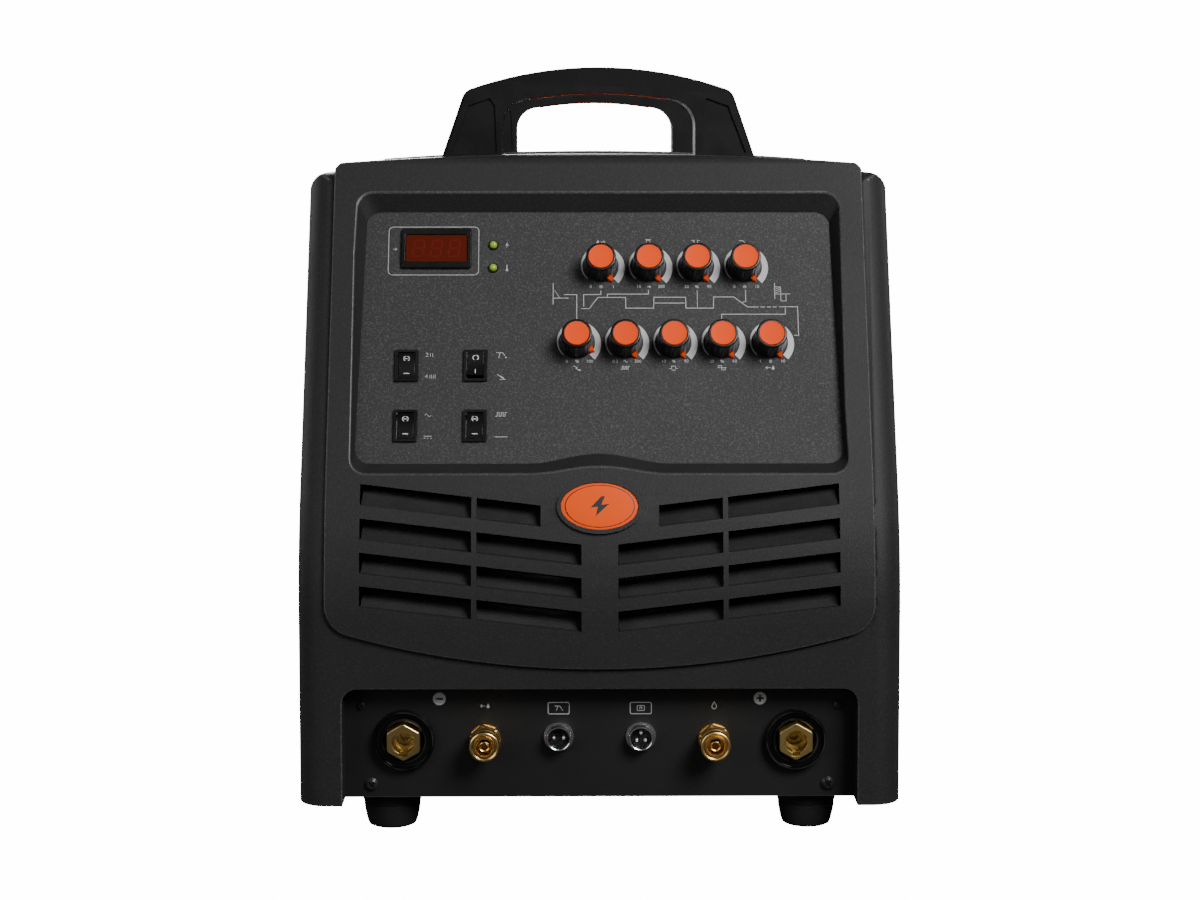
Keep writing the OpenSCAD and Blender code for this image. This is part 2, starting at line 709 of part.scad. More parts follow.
// Knurled release sleeve, sliding on the outlet body
module outlet_sleeve(s) color(brass) {
    facing_front(s * outlet_x, bay_d, socket_z) difference() {
        union() {
            translate([0, 0, 9.6]) cylinder(r = 9.5, h = 4);
            translate([0, 0, 13.5]) cylinder(r = 8.6, h = 2.2);
            translate([0, 0, 15.6]) cylinder(r = 9.5, h = 5.2);
            translate([0, 0, 20.7]) cylinder(r1 = 9.5, r2 = 8.7, h = 0.8);
        }
        translate([0, 0, 9]) cylinder(r = 7.25, h = 14);
    }
}

module gas_sleeve() outlet_sleeve(-1);
module water_sleeve() outlet_sleeve(1);

module connector_shells() color([0.75, 0.76, 0.78]) {
    for (s = [-1, 1])
        facing_front(s * plug_x, bay_d, socket_z + 2) difference() {
            union() {
                cylinder(r = 9.6, h = 2.4);
                translate([0, 0, 2.4]) cylinder(r = 8, h = 6);
                translate([0, 0, -14]) cylinder(r = 7.9, h = 14.2);
                translate([0, 0, -5.6]) hexagon(19, 3);
            }
            translate([0, 0, -15]) cylinder(r = 6.7, h = 30);
            translate([-1.2, 5, 2.5]) cube([2.4, 4, 8]);
        }
}

module connector_inserts() color([0.08, 0.08, 0.08]) {
    for (s = [-1, 1])
        facing_front(s * plug_x, bay_d, socket_z + 2) {
            translate([0, 0, -13]) cylinder(r = 6.7, h = 14);
            for (i = [0:(s < 0 ? 1 : 2)]) {
                a = s < 0 ? 180 * i : 90 + 120 * i;
                translate([3.1 * cos(a), 3.1 * sin(a), -17]) cylinder(r = 0.9, h = 23);
            }
        }
}

// Pan-head screw with a cross recess, local z out of the panel it clamps
module screw(r, shank, depth) {
    difference() {
        union() {
            cylinder(r = r, h = 1);
            translate([0, 0, 1]) cylinder(r1 = r, r2 = r * 0.6, h = r * 0.35);
            translate([0, 0, -depth]) cylinder(r = shank, h = depth + 0.5);
        }
        for (a = [45, 135])
            rotate([0, 0, a]) translate([-r * 0.55, -0.45, 0.6]) cube([r * 1.1, 0.9, 4]);
    }
}

module screws() color([0.3, 0.3, 0.31]) {
    for (p = screw_at)
        facing_front(p[0], bay_d, p[1]) screw(p[2], p[2] / 2 - 0.35, 7);
    for (p = rear_screw_at)
        facing_rear(p[0], rear_y, p[1]) screw(3.6, 1.5, 5);
    for (x = [-66, 66], z = [-66, 66])
        facing_rear(x, rear_y + 3.2, fan_z + z) screw(3.8, 1.8, 16);
    for (s = [-1, 1], y = [front_depth - 4, case_l - rear_depth + 4], z = [60, 300])
        translate([s * half_w, y, z]) rotate([0, -s * 90, 0]) {
            translate([0, 0, 0.1]) cylinder(r = 4.3, h = 1.55);
            cylinder(r = 2.1, h = 9);
        }
    for (y = [handle_y1, handle_y2], x = [-bolt_x, bolt_x], dy = [-bolt_dy, bolt_dy])
        translate([x, y + dy, case_top - 22]) {
            hexagon(8, 4);
            cylinder(r = 2.5, h = 36);
        }
}

// ---- feet and handles -----------------------------------------------------

module feet() color([0.05, 0.05, 0.05]) {
    for (p = foot_at)
        translate([p[0], p[1], 0]) difference() {
            union() {
                cylinder(r1 = 15.4, r2 = 16.6, h = 3);
                translate([0, 0, 3]) cylinder(r1 = 16.6, r2 = 20, h = foot_h - 3);
                translate([0, 0, foot_h - 0.5]) cylinder(r = 3, h = 6);
            }
            translate([0, 0, -1]) cylinder(r = 7, h = 13);
        }
}

// Front view of a handle: sloped legs, rounded corners, bowed bar
function handle_outline(w) =
    let(zt = case_top + handle_h - w, ro = 256.4 - w, cz = zt - ro,
        r = 9, lean = 19.4, x0 = handle_w / 2 - 0.3,
        k = tan(lean), e = (r + w) / cos(lean),
        b = x0 - e + k * (crown(x0) - cz), qa = 1 + k * k, qb = -2 * b * k,
        qc = b * b - pow(ro - r, 2), dz = (-qb + sqrt(qb * qb - 4 * qa * qc)) / (2 * qa),
        px = b - k * dz, pz = cz + dz, a = atan2(dz, px))
    concat([[x0 - w / cos(lean), crown(x0 - w / cos(lean)) + 0.05]], arc(px, pz, r, lean, a, 5),
        arc(0, cz, ro, a, 180 - a, 20), arc(-px, pz, r, 180 - a, 180 - lean, 5),
        [for (i = [-8:7]) let(u = (x0 - w / cos(lean)) * i / 8) [u, crown(u) + 0.05]]);

// Finger opening under the bar
function opening_outline() =
    let(rc = 275, zt = case_top + 39.4, cz = zt - rc, r = 17, x = 63.5,
        px = x - r, dz = sqrt(pow(rc - r, 2) - px * px), a = atan2(dz, px))
    concat([[x, case_top - 8]], arc(px, cz + dz, r, 0, a, 6), arc(0, cz, rc, a, 180 - a, 14),
        arc(-px, cz + dz, r, 180 - a, 180, 6), [[-x, case_top - 8]]);

grip_z = case_top + 39.4 - 275;

module grip_shape() {
    polygon(concat(arc(0, grip_z, 278, 80.6, 99.4, 14), arc(0, grip_z, 273.4, 99.4, 80.6, 14)));
}

module pad_shape() {
    polygon([[66.5, 430.5], [97, 430.5], [85, 461], [71, 466], [67.5, 461]]);
}

module handle(y) color([0.08, 0.08, 0.085]) {
    difference() {
        union() {
            along_y(y - handle_d / 2, y + handle_d / 2) polygon(handle_outline(1.6));
            along_y(y - handle_d / 2 + 2, y + handle_d / 2 - 2) polygon(handle_outline(0));
        }
        along_y(y - 40, y + 40) polygon(opening_outline());
        along_y(y - 15, y + 15) grip_shape();
        for (s = [0, 1]) mirror([s, 0, 0]) {
            along_y(y - 40, y - handle_d / 2 + 1.4) pad_shape();
            along_y(y + handle_d / 2 - 1.4, y + 40) pad_shape();
        }
        for (x = [-bolt_x, bolt_x], dy = [-bolt_dy, bolt_dy])
            translate([x, y + dy, case_top - 10]) cylinder(r = 2.6, h = 26);
    }
}

module handle_front() handle(handle_y1);
module handle_rear() handle(handle_y2);

module handle_grips() color(orange) {
    for (y = [handle_y1, handle_y2]) along_y(y - 14.95, y + 14.95) grip_shape();
}

// ---- rear -----------------------------------------------------------------

fan_y = rear_y - sheet;

module fan_frame() color([0.07, 0.07, 0.07]) {
    facing_rear(0, fan_y, fan_z) translate([0, 0, -38]) {
        difference() {
            linear_extrude(38) polygon(rrect(-75, -75, 75, 75, 9));
            translate([0, 0, -1]) cylinder(r = fan_d / 2 + 1, h = 40, $fn = 72);
            for (x = [-66, 66], y = [-66, 66])
                translate([x, y, -1]) cylinder(r = 2.2, h = 40);
            for (a = [0:90:270])
                rotate([0, 0, a]) translate([-52, 73, 5]) cube([104, 4, 28]);
        }
        difference() {
            union() {
                cylinder(r = 24, h = 5);
                for (a = [45:90:315])
                    rotate([0, 0, a]) translate([0, -3, 0]) cube([fan_d / 2 + 5, 6, 4]);
            }
            translate([0, 0, -1]) cylinder(r = 2.55, h = 8);
        }
    }
}

module fan_impeller() color([0.1, 0.1, 0.11]) {
    facing_rear(0, fan_y, fan_z) translate([0, 0, -38]) {
        difference() {
            translate([0, 0, 7]) cylinder(r = 26, h = 25);
            translate([0, 0, 27]) ring(20, 12, 8);
        }
        cylinder(r = 2.5, h = 10);
        for (a = [0:7])
            rotate([0, 0, a * 45]) translate([25, 0, 19.5]) rotate([90, 0, 90]) linear_extrude(fan_d / 2 - 26)
                polygon(concat(arc(0, -22, 25, 65, 118, 6), arc(0, -22, 23.2, 118, 65, 6)));
    }
}

module fan_guard() color([0.5, 0.5, 0.52]) {
    facing_rear(0, rear_y, fan_z) {
        for (r = [18:12.5:68])
            translate([0, 0, 5]) rotate_extrude($fn = 64) translate([r, 0]) circle(r = 1.1, $fn = 16);
        for (a = [45:90:315])
            rotate([0, 0, a]) {
                translate([0, 0, 3.2]) rotate([0, 90, 0]) cylinder(r = 1.2, h = 88, $fn = 16);
                translate([93.3, 0, 0]) ring(5.5, 2.2, 3.2);
            }
    }
}

module power_switch() color([0.12, 0.12, 0.13]) {
    facing_rear(-90, rear_y, 345) difference() {
        union() {
            linear_extrude(3) polygon(rrect(-27, -34, 27, 34, 3));
            translate([0, 0, -52]) linear_extrude(54) square([45.6, 59.6], center = true);
            translate([0, 0, 3]) linear_extrude(5) polygon(rrect(-18, -15, 18, 15, 2));
        }
        translate([-13.1, -10, -6]) cube([26.2, 20, 20]);
        translate([-16, 0, 2]) rotate([0, 90, 0]) cylinder(r = 2.05, h = 32);
        for (y = [-26, 26])
            translate([0, y, -1]) cylinder(r = 1.8, h = 6);
    }
}

// Toggle lever, resting down (off)
module switch_lever() color([0.7, 0.7, 0.68]) {
    facing_rear(-90, rear_y, 345) translate([0, 0, 2]) rotate([30, 0, 0]) {
        translate([-12.8, 0, 0]) rotate([0, 90, 0]) cylinder(r = 5.5, h = 25.6);
        translate([-15.6, 0, 0]) rotate([0, 90, 0]) cylinder(r = 2, h = 31.2);
        translate([-12.8, -1, 0]) rotate([90, 0, 90]) linear_extrude(25.6)
            polygon([[-3, 2], [-2, 15], [-0.6, 16.6], [2.6, 16.6], [4, 15], [5, 2]]);
    }
}

module cable_gland() color([0.08, 0.08, 0.08]) {
    facing_rear(100, rear_y, 80) difference() {
        union() {
            hexagon(29, 6);
            translate([0, 0, 6]) cylinder(r = 12.5, h = 3);
            translate([0, 0, 9]) hexagon(26, 6);
            translate([0, 0, 15]) cylinder(r1 = 12, r2 = 9, h = 6);
            translate([0, 0, -12]) cylinder(r = 12, h = 12.2);
            translate([0, 0, -6.6]) hexagon(29, 5);
        }
        translate([0, 0, -20]) cylinder(r = 6.5, h = 60);
    }
}

module gas_inlet() color(brass) {
    facing_rear(-100, rear_y, 80) difference() {
        union() {
            hexagon(17, 5);
            translate([0, 0, 5]) cylinder(r = 4, h = 17);
            for (z = [8, 12.5, 17])
                translate([0, 0, z]) cylinder(r1 = 4.9, r2 = 4, h = 4);
            translate([0, 0, -14]) cylinder(r = 6.2, h = 14.2);
            translate([0, 0, -6.6]) hexagon(17, 5);
        }
        translate([0, 0, -20]) cylinder(r = 2.5, h = 60);
    }
}

// ---- inside ---------------------------------------------------------------

module heatsinks() color([0.7, 0.71, 0.73]) {
    for (s = [-1, 1])
        translate([s * 72, 190, 150]) {
            translate([s > 0 ? -36 : 30, 0, 0]) cube([6, 240, 130]);
            for (i = [0:11])
                translate([s > 0 ? -31 : -30, 0, 2 + 11.2 * i]) cube([61, 240, 2.4]);
        }
    for (s = [-1, 1], y = [200, 400])
        translate([s * 96 - 8, y, foot_h + 2]) cube([16, 16, 128]);
}

module transformer() color([0.32, 0.3, 0.3]) {
    translate([0, 360, foot_h + 2]) {
        difference() {
            translate([-50, -40, 0]) cube([100, 80, 86]);
            for (x = [-32, 12])
                translate([x, -41, 18]) cube([20, 82, 50]);
        }
        for (x = [-31.5, 0, 31.5])
            translate([x, 0, 19]) linear_extrude(48) difference() {
                polygon(rrect(x == 0 ? -26 : -2, -56, x == 0 ? 26 : 2, 56, 1.9));
                square([40, 78], center = true);
            }
    }
}

module power_board() color([0.1, 0.34, 0.2]) {
    translate([-150, 195, 292]) {
        difference() {
            cube([300, 230, 2]);
            for (x = [8, 292], y = [8, 222])
                translate([x, y, -1]) cylinder(r = 2.2, h = 5);
        }
        for (i = [0:3])
            translate([40 + 36 * i, 60, 1.5]) cylinder(r = 15, h = 62);
        for (i = [0:3])
            translate([40 + 60 * i, 130, 1.5]) cube([42, 22, 18]);
        translate([215, 40, 1.5]) cube([50, 60, 42]);
        for (x = [111, 189], y = [20, 200])
            translate([x, y, -12]) cylinder(r = 3, h = 12.5);
    }
}

module arc_starter() color([0.5, 0.42, 0.2]) {
    translate([0, 130, 60]) rotate([90, 0, 0]) {
        for (x = [-46, 46]) translate([x, 6, 0]) ring(34, 18, 44);
        for (x = [-46, 46], a = [0:30:330])
            translate([x, 6, -1.5]) rotate([0, 0, a]) translate([15, -2.4, 0]) cube([22, 4.8, 47]);
    }
    translate([-90, 84, foot_h + 2]) cube([180, 48, 4]);
}

module gas_valve() color([0.55, 0.5, 0.36]) {
    translate([-100, 500, 80]) {
        translate([-14, -12, -14]) cube([28, 26, 28]);
        translate([0, 4, 14]) cylinder(r = 10, h = 4);
        translate([-13, -9, 18]) cube([26, 26, 30]);
        translate([0, 13, 0]) rotate([-90, 0, 0]) cylinder(r = 5, h = 29);
        translate([0, -12, 0]) rotate([90, 0, 0]) cylinder(r = 4.4, h = 16);
        translate([-20, -9, -14]) cube([40, 20, 3]);
        for (x = [-16, 16])
            translate([x, 0, -54]) cylinder(r = 3, h = 41);
    }
}

// ---- drawing --------------------------------------------------------------

placed() base_plate();
placed() front_bezel();
placed() rear_bezel();
placed() cover();
placed() socket_panel();
placed() rear_panel();
placed() control_panel();
placed() badge();
placed() display_bezel();
placed() display_window();
placed() indicator_lamps();
placed() rocker_frames();
placed() rocker_trigger();
placed() rocker_process();
placed() rocker_current();
placed() rocker_pulse();
placed() knob_pregas();
placed() knob_peak();
placed() knob_base();
placed() knob_slope();
placed() knob_force();
placed() knob_frequency();
placed() knob_width();
placed() knob_balance();
placed() knob_postgas();
placed() cap_pregas();
placed() cap_peak();
placed() cap_base();
placed() cap_slope();
placed() cap_force();
placed() cap_frequency();
placed() cap_width();
placed() cap_balance();
placed() cap_postgas();
placed() potentiometers();
placed() control_board();
placed() socket_insulators();
placed() output_sockets();
placed() outlet_bodies();
placed() gas_sleeve();
placed() water_sleeve();
placed() connector_shells();
placed() connector_inserts();
placed() screws();
placed() feet();
placed() handle_front();
placed() handle_rear();
placed() handle_grips();
placed() fan_frame();
placed() fan_impeller();
placed() fan_guard();
placed() power_switch();
placed() switch_lever();
placed() cable_gland();
placed() gas_inlet();
placed() heatsinks();
placed() transformer();
placed() power_board();
placed() arc_starter();
placed() gas_valve();
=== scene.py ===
"""Looks of a TIG welding power source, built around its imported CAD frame.

The row frame is in metres, +Z up, with the front of the machine toward -Y.
Inside the classes a size is in millimetres, and a Place carries it to the row frame.
"""

import json
import logging
import math
from dataclasses import dataclass, field
from enum import Enum
from typing import Callable, Iterable, Sequence

import bmesh
import bpy
import numpy as np
from mathutils import Matrix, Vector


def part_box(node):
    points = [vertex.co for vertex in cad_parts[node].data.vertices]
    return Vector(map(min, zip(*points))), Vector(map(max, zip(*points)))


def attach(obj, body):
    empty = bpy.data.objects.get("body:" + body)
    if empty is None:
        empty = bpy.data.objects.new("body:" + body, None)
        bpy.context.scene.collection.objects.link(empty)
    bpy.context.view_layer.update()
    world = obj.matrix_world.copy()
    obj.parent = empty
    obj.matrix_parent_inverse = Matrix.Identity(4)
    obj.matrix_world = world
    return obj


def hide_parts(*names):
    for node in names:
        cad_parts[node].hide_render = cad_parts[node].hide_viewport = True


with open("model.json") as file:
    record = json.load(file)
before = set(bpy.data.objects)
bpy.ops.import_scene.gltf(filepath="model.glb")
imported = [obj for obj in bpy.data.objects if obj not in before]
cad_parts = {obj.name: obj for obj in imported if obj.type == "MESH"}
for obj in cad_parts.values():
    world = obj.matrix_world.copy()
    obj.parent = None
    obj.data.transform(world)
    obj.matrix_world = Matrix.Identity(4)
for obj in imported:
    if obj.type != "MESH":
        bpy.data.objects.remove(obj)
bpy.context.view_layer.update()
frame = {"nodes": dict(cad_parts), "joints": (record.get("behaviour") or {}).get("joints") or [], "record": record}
LOG = logging.getLogger("welder")
MM = 0.001
PRINT_RISE = 0.06  # printed lines and areas stand this far proud, in millimetres
PRINT_SINK = 0.02  # and reach this far into the surface below
BEVEL_ANGLE = 32.0  # edges sharper than this, in degrees, are rounded
JOINTS = {j["name"]: j for j in frame["joints"]}
MOUNTS = {m["name"]: m for m in frame["record"]["mounts"]}
Vec3 = tuple[float, float, float]


# ---- places -----------------------------------------------------------------


@dataclass(frozen=True)
class Place:
    """A spot on the machine: an origin in millimetres and three unit axes."""

    origin: Vec3
    x: Vec3 = (1.0, 0.0, 0.0)
    y: Vec3 = (0.0, 1.0, 0.0)
    z: Vec3 = (0.0, 0.0, 1.0)

    def axes(self) -> np.ndarray:
        """The three axes as the rows of an array."""
        return np.array([self.x, self.y, self.z], float)

    def put(self, points: np.ndarray) -> np.ndarray:
        """Carries local points to the row frame: origin + px x + py y + pz z.

        Args:
            points: (n, 3) local points in millimetres.

        Returns:
            (n, 3) points in millimetres in the row frame.
        """
        return np.asarray(self.origin, float) + np.asarray(points, float) @ self.axes()

    def moved(self, x: float = 0.0, y: float = 0.0, z: float = 0.0) -> "Place":
        """The same axes at a local offset."""
        return Place(tuple(self.put(np.array([[x, y, z]]))[0]), self.x, self.y, self.z)

    def turned(self, degrees: float) -> "Place":
        """The same spot with x and y turned about z."""
        return self._spun(2, degrees)

    def tipped(self, degrees: float) -> "Place":
        """The same spot with y and z turned about x."""
        return self._spun(0, degrees)

    def _spun(self, about: int, degrees: float) -> "Place":
        """Turns the two other axes by an angle: u' = u cos a + v sin a, v' = v cos a - u sin a.

        Args:
            about: number of the axis that stays.
            degrees: the angle.

        Returns:
            The turned place.
        """
        a = math.radians(degrees)
        rows = self.axes()
        i, j = (about + 1) % 3, (about + 2) % 3
        u, v = rows[i].copy(), rows[j].copy()
        rows[i] = u * math.cos(a) + v * math.sin(a)
        rows[j] = v * math.cos(a) - u * math.sin(a)
        return Place(self.origin, *(tuple(r) for r in rows))


def facing_front(x: float, y: float, z: float) -> Place:
    """A place that looks toward the front: local x across, y up, z toward -Y."""
    return Place((x, y, z), (1, 0, 0), (0, 0, 1), (0, -1, 0))


def facing_rear(x: float, y: float, z: float) -> Place:
    """A place that looks toward the rear: local x across (mirrored), y up, z toward +Y."""
    return Place((x, y, z), (-1, 0, 0), (0, 0, 1), (0, 1, 0))


def joint_place(name: str, slope: bool) -> Place:
    """The place of a joint's anchor.

    Args:
        name: of the joint.
        slope: sets z along the sloped face's normal instead of straight to the front.

    Returns:
        The place.
    """
    joint = JOINTS[name]
    origin = tuple(1000 * v for v in joint["pos_m"])
    if not slope:
        return facing_front(*origin)
    n = np.array(JOINTS["pregas_knob_turn"]["axis"], float)
    n /= np.linalg.norm(n)
    return Place(origin, (1, 0, 0), (0.0, float(n[2]), float(-n[1])), tuple(n))


def mount_place(name: str) -> Place:
    """The place of a front mount, looking toward the front."""
    return facing_front(*(1000 * v for v in MOUNTS[name]["pos_m"]))


# ---- shapes -----------------------------------------------------------------


@dataclass
class Shape:
    """Points in millimetres with faces, and the finish number of each face."""

    points: np.ndarray
    faces: list[tuple[int, ...]]
    slots: list[int]

    def __add__(self, other: "Shape") -> "Shape":
        """Both shapes as one.

        Args:
            other: the shape whose points and faces follow this one's.

        Returns:
            The joint shape.
        """
        n = len(self.points)
        return Shape(
            np.concatenate([self.points, other.points]),
            self.faces + [tuple(i + n for i in f) for f in other.faces],
            self.slots + other.slots,
        )

    def at(self, place: Place) -> "Shape":
        """The shape carried to a place."""
        return Shape(place.put(self.points), self.faces, self.slots)

    def painted(self, slot: int) -> "Shape":
        """The shape with one finish number on every face."""
        return Shape(self.points, self.faces, [slot] * len(self.faces))


def together(shapes: Iterable[Shape]) -> Shape:
    """Adds shapes up.

    Args:
        shapes: one or more.

    Returns:
        One shape with all their faces.
    """
    total = None
    for shape in shapes:
        total = shape if total is None else total + shape
    return total


def grid(
    points: np.ndarray,
    wrap_u: bool = False,
    wrap_v: bool = False,
    cap_u: bool = False,
    slots: Sequence[int] | int = 0,
) -> Shape:
    """A surface over a (rows, columns, 3) array of points, each four neighbours joined by a face.

    Args:
        points: the array; rows run along u and columns along v.
        wrap_u: joins the last row to the first.
        wrap_v: joins the last column to the first.
        cap_u: closes the first and the last row with one face each.
        slots: finish number of each strip between two rows, or one for all.

    Returns:
        The shape.
    """
    rows, columns = points.shape[:2]
    i = np.arange(rows if wrap_u else rows - 1)
    j = np.arange(columns if wrap_v else columns - 1)
    a, b = np.meshgrid(i, j, indexing="ij")
    a2, b2 = (a + 1) % rows, (b + 1) % columns
    quads = np.stack(
        [a * columns + b, a * columns + b2, a2 * columns + b2, a2 * columns + b], -1
    ).reshape(-1, 4)
    strip = np.full(len(i), slots) if isinstance(slots, int) else np.asarray(slots)
    faces = [tuple(q) for q in quads.tolist()]
    numbers = np.repeat(strip, len(j)).tolist()
    if cap_u:
        faces.append(tuple(range(columns))[::-1])
        faces.append(tuple(range((rows - 1) * columns, rows * columns)))
        numbers += [int(strip[0]), int(strip[-1])]
    return Shape(points.reshape(-1, 3), faces, numbers)


def lathe(
    profile: Sequence[tuple[float, float]],
    steps: int = 64,
    slots: Sequence[int] | int = 0,
    ripple: Callable[[np.ndarray, np.ndarray], np.ndarray] | None = None,
) -> Shape:
    """Turns a profile about z: (r cos t, r sin t, z), r grown by ripple(t, z) where one is given.

    Args:
        profile: (radius, height) points from the lower pole to the upper pole.
        steps: points round the axis.
        slots: finish number per profile strip.
        ripple: extra radius as a function of the angle and the height.

    Returns:
        The closed shape; a profile that doesn't reach the axis is capped.
    """
    rz = np.asarray(profile, float)
    t = np.linspace(0, 2 * math.pi, steps, endpoint=False)
    r = np.repeat(rz[:, :1], steps, axis=1)
    z = np.repeat(rz[:, 1:], steps, axis=1)
    if ripple is not None:
        r = r + np.where(r > 0.01, ripple(np.broadcast_to(t, r.shape), z), 0.0)
    points = np.stack([r * np.cos(t), r * np.sin(t), z], -1)
    closed = bool(np.allclose(rz[0], rz[-1]))
    if closed:
        return grid(points[:-1], wrap_u=True, wrap_v=True, slots=slots)
    capped = rz[0, 0] > 0.01 or rz[-1, 0] > 0.01
    return grid(points, wrap_v=True, cap_u=capped, slots=slots)


def prism(outline: np.ndarray, z0: float, z1: float, slot: int = 0) -> Shape:
    """An outline extruded between two heights, with a face at each end.

    Args:
        outline: (n, 2) points.
        z0: the lower height.
        z1: the upper height.
        slot: finish number.

    Returns:
        The shape.
    """
    flat = np.asarray(outline, float)
    low = np.column_stack([flat, np.full(len(flat), z0)])
    high = np.column_stack([flat, np.full(len(flat), z1)])
    return grid(np.stack([low, high]), wrap_v=True, cap_u=True, slots=slot)


def stacked(rings: Sequence[np.ndarray], slots: Sequence[int] | int = 0) -> Shape:
    """A closed skin through rings of (n, 3) points, capped at both ends."""
    return grid(np.stack(rings), wrap_v=True, cap_u=True, slots=slots)


def ring_at(outline: np.ndarray, z: float) -> np.ndarray:
    """An outline of (n, 2) points lifted to a height."""
    return np.column_stack([outline, np.full(len(outline), z)])


def circle(radius: float, steps: int = 48, x: float = 0.0, y: float = 0.0) -> np.ndarray:
    """Points (x + r cos t, y + r sin t) once round."""
    t = np.linspace(0, 2 * math.pi, steps, endpoint=False)
    return np.column_stack([x + radius * np.cos(t), y + radius * np.sin(t)])


def arc(
    radius: float, start: float, end: float, steps: int = 24, x: float = 0.0, y: float = 0.0
) -> np.ndarray:
    """Points on an arc between two angles in degrees."""
    t = np.radians(np.linspace(start, end, steps + 1))
    return np.column_stack([x + radius * np.cos(t), y + radius * np.sin(t)])


def rounded(w: float, h: float, r: float, x: float = 0.0, y: float = 0.0, steps: int = 6) -> np.ndarray:
    """A rectangle whose corners are arcs.

    Args:
        w: width.
        h: height.
        r: corner radius.
        x: middle across.
        y: middle up.
        steps: per corner.

    Returns:
        (n, 2) points once round.
    """
    a, b = w / 2 - r, h / 2 - r
    corners = [(a, b, 0), (-a, b, 90), (-a, -b, 180), (a, -b, 270)]
    return np.concatenate([arc(r, t, t + 90, steps, x + cx, y + cy) for cx, cy, t in corners])


def hexagon(across: float, corner: float, turn: float, steps: int = 96) -> np.ndarray:
    """A hexagon with rounded corners in polar form: r = min(flat / cos(t mod 60), corner radius).

    Args:
        across: distance between flats.
        corner: radius that the corners are cut back to.
        turn: angle of the first flat, in degrees.
        steps: points once round.

    Returns:
        (n, 2) points.
    """
    t = np.linspace(0, 2 * math.pi, steps, endpoint=False)
    local = np.mod(t - math.radians(turn) + math.pi / 6, math.pi / 3) - math.pi / 6
    r = np.minimum(across / 2 / np.cos(local), corner)
    return np.column_stack([r * np.cos(t), r * np.sin(t)])


def stroke(
    path: Sequence[tuple[float, float]] | np.ndarray,
    width: float = 0.45,
    height: float = PRINT_RISE,
    closed: bool = False,
) -> Shape:
    """A flat printed line along a path, its corners mitred.

    Each side is the path moved by half the width along the mitre (n1 + n2) / (1 + n1 . n2).

    Args:
        path: (n, 2) points.
        width: of the line.
        height: how far it stands proud.
        closed: joins the end to the start.

    Returns:
        The shape.
    """
    p = np.asarray(path, float)
    step = np.roll(p, -1, 0) - p
    step /= np.maximum(np.linalg.norm(step, axis=1, keepdims=True), 1e-9)
    normal = np.column_stack([-step[:, 1], step[:, 0]])
    before = np.roll(normal, 1, 0)
    if not closed:
        before[0] = normal[0]
        normal[-1] = before[-1]
    dot = np.sum(normal * before, axis=1, keepdims=True)
    mitre = (normal + before) / np.maximum(1 + dot, 0.3) * width / 2
    left, right = p + mitre, p - mitre
    low, high = np.full(len(p), -PRINT_SINK), np.full(len(p), height)
    section = np.stack(
        [
            np.column_stack([right, low]),
            np.column_stack([right, high]),
            np.column_stack([left, high]),
            np.column_stack([left, low]),
        ],
        axis=1,
    )
    return grid(section, wrap_u=closed, wrap_v=True, cap_u=not closed)


def patch(outline: np.ndarray, height: float = PRINT_RISE) -> Shape:
    """A printed area with that outline."""
    return prism(outline, -PRINT_SINK, height)


def moved(shape: Shape, x: float, y: float, z: float = 0.0) -> Shape:
    """A shape moved in its own frame."""
    return Shape(shape.points + np.array([x, y, z]), shape.faces, shape.slots)


def digits(text: str, size: float) -> Shape:
    """Printed numerals, centred on the origin, cap height about 0.7 of size.

    Args:
        text: the numerals and signs.
        size: type size in millimetres.

    Returns:
        The shape, from a text curve made a mesh.
    """
    curve = bpy.data.curves.new("numerals", "FONT")
    curve.body = text
    curve.align_x, curve.align_y = "CENTER", "CENTER"
    curve.size = size
    curve.extrude = (PRINT_RISE + PRINT_SINK) / 2
    curve.resolution_u = 3
    holder = bpy.data.objects.new("numerals", curve)
    bpy.context.scene.collection.objects.link(holder)
    depsgraph = bpy.context.evaluated_depsgraph_get()
    mesh = bpy.data.meshes.new_from_object(holder.evaluated_get(depsgraph))
    points = np.zeros(len(mesh.vertices) * 3)
    mesh.vertices.foreach_get("co", points)
    faces = [tuple(p.vertices) for p in mesh.polygons]
    bpy.data.objects.remove(holder)
    bpy.data.curves.remove(curve)
    bpy.data.meshes.remove(mesh)
    points = points.reshape(-1, 3) + np.array([0, 0, (PRINT_RISE - PRINT_SINK) / 2])
    return Shape(points, faces, [0] * len(faces))


# ---- shader groups ----------------------------------------------------------


def add_node(tree: bpy.types.NodeTree, kind: str, inputs: dict | None = None, **settings) -> bpy.types.Node:
    """Adds a shader node, sets its properties, and sets or links its inputs.

    Args:
        tree: the tree it goes into.
        kind: the node type.
        inputs: input name or number to a value, or to the socket that feeds it.
        **settings: properties of the node itself.

    Returns:
        The node.
    """
    node = tree.nodes.new(kind)
    for key, value in settings.items():
        setattr(node, key, value)
    for key, value in (inputs or {}).items():
        if isinstance(value, bpy.types.NodeSocket):
            tree.links.new(value, node.inputs[key])
        else:
            node.inputs[key].default_value = value
    return node


def maths(
    tree: bpy.types.NodeTree, operation: str, a: object, b: object = 0.0, clamp: bool = False
) -> bpy.types.NodeSocket:
    """The result of a Math node on two values or sockets."""
    return add_node(tree, "ShaderNodeMath", {0: a, 1: b}, operation=operation, use_clamp=clamp).outputs[0]


def ramp(tree: bpy.types.NodeTree, value: object, low: float, high: float) -> bpy.types.NodeSocket:
    """The value carried from low..high to 0..1, clamped and smoothed."""
    inputs = {"Value": value, "From Min": low, "From Max": high}
    return add_node(tree, "ShaderNodeMapRange", inputs, interpolation_type="SMOOTHSTEP").outputs[0]


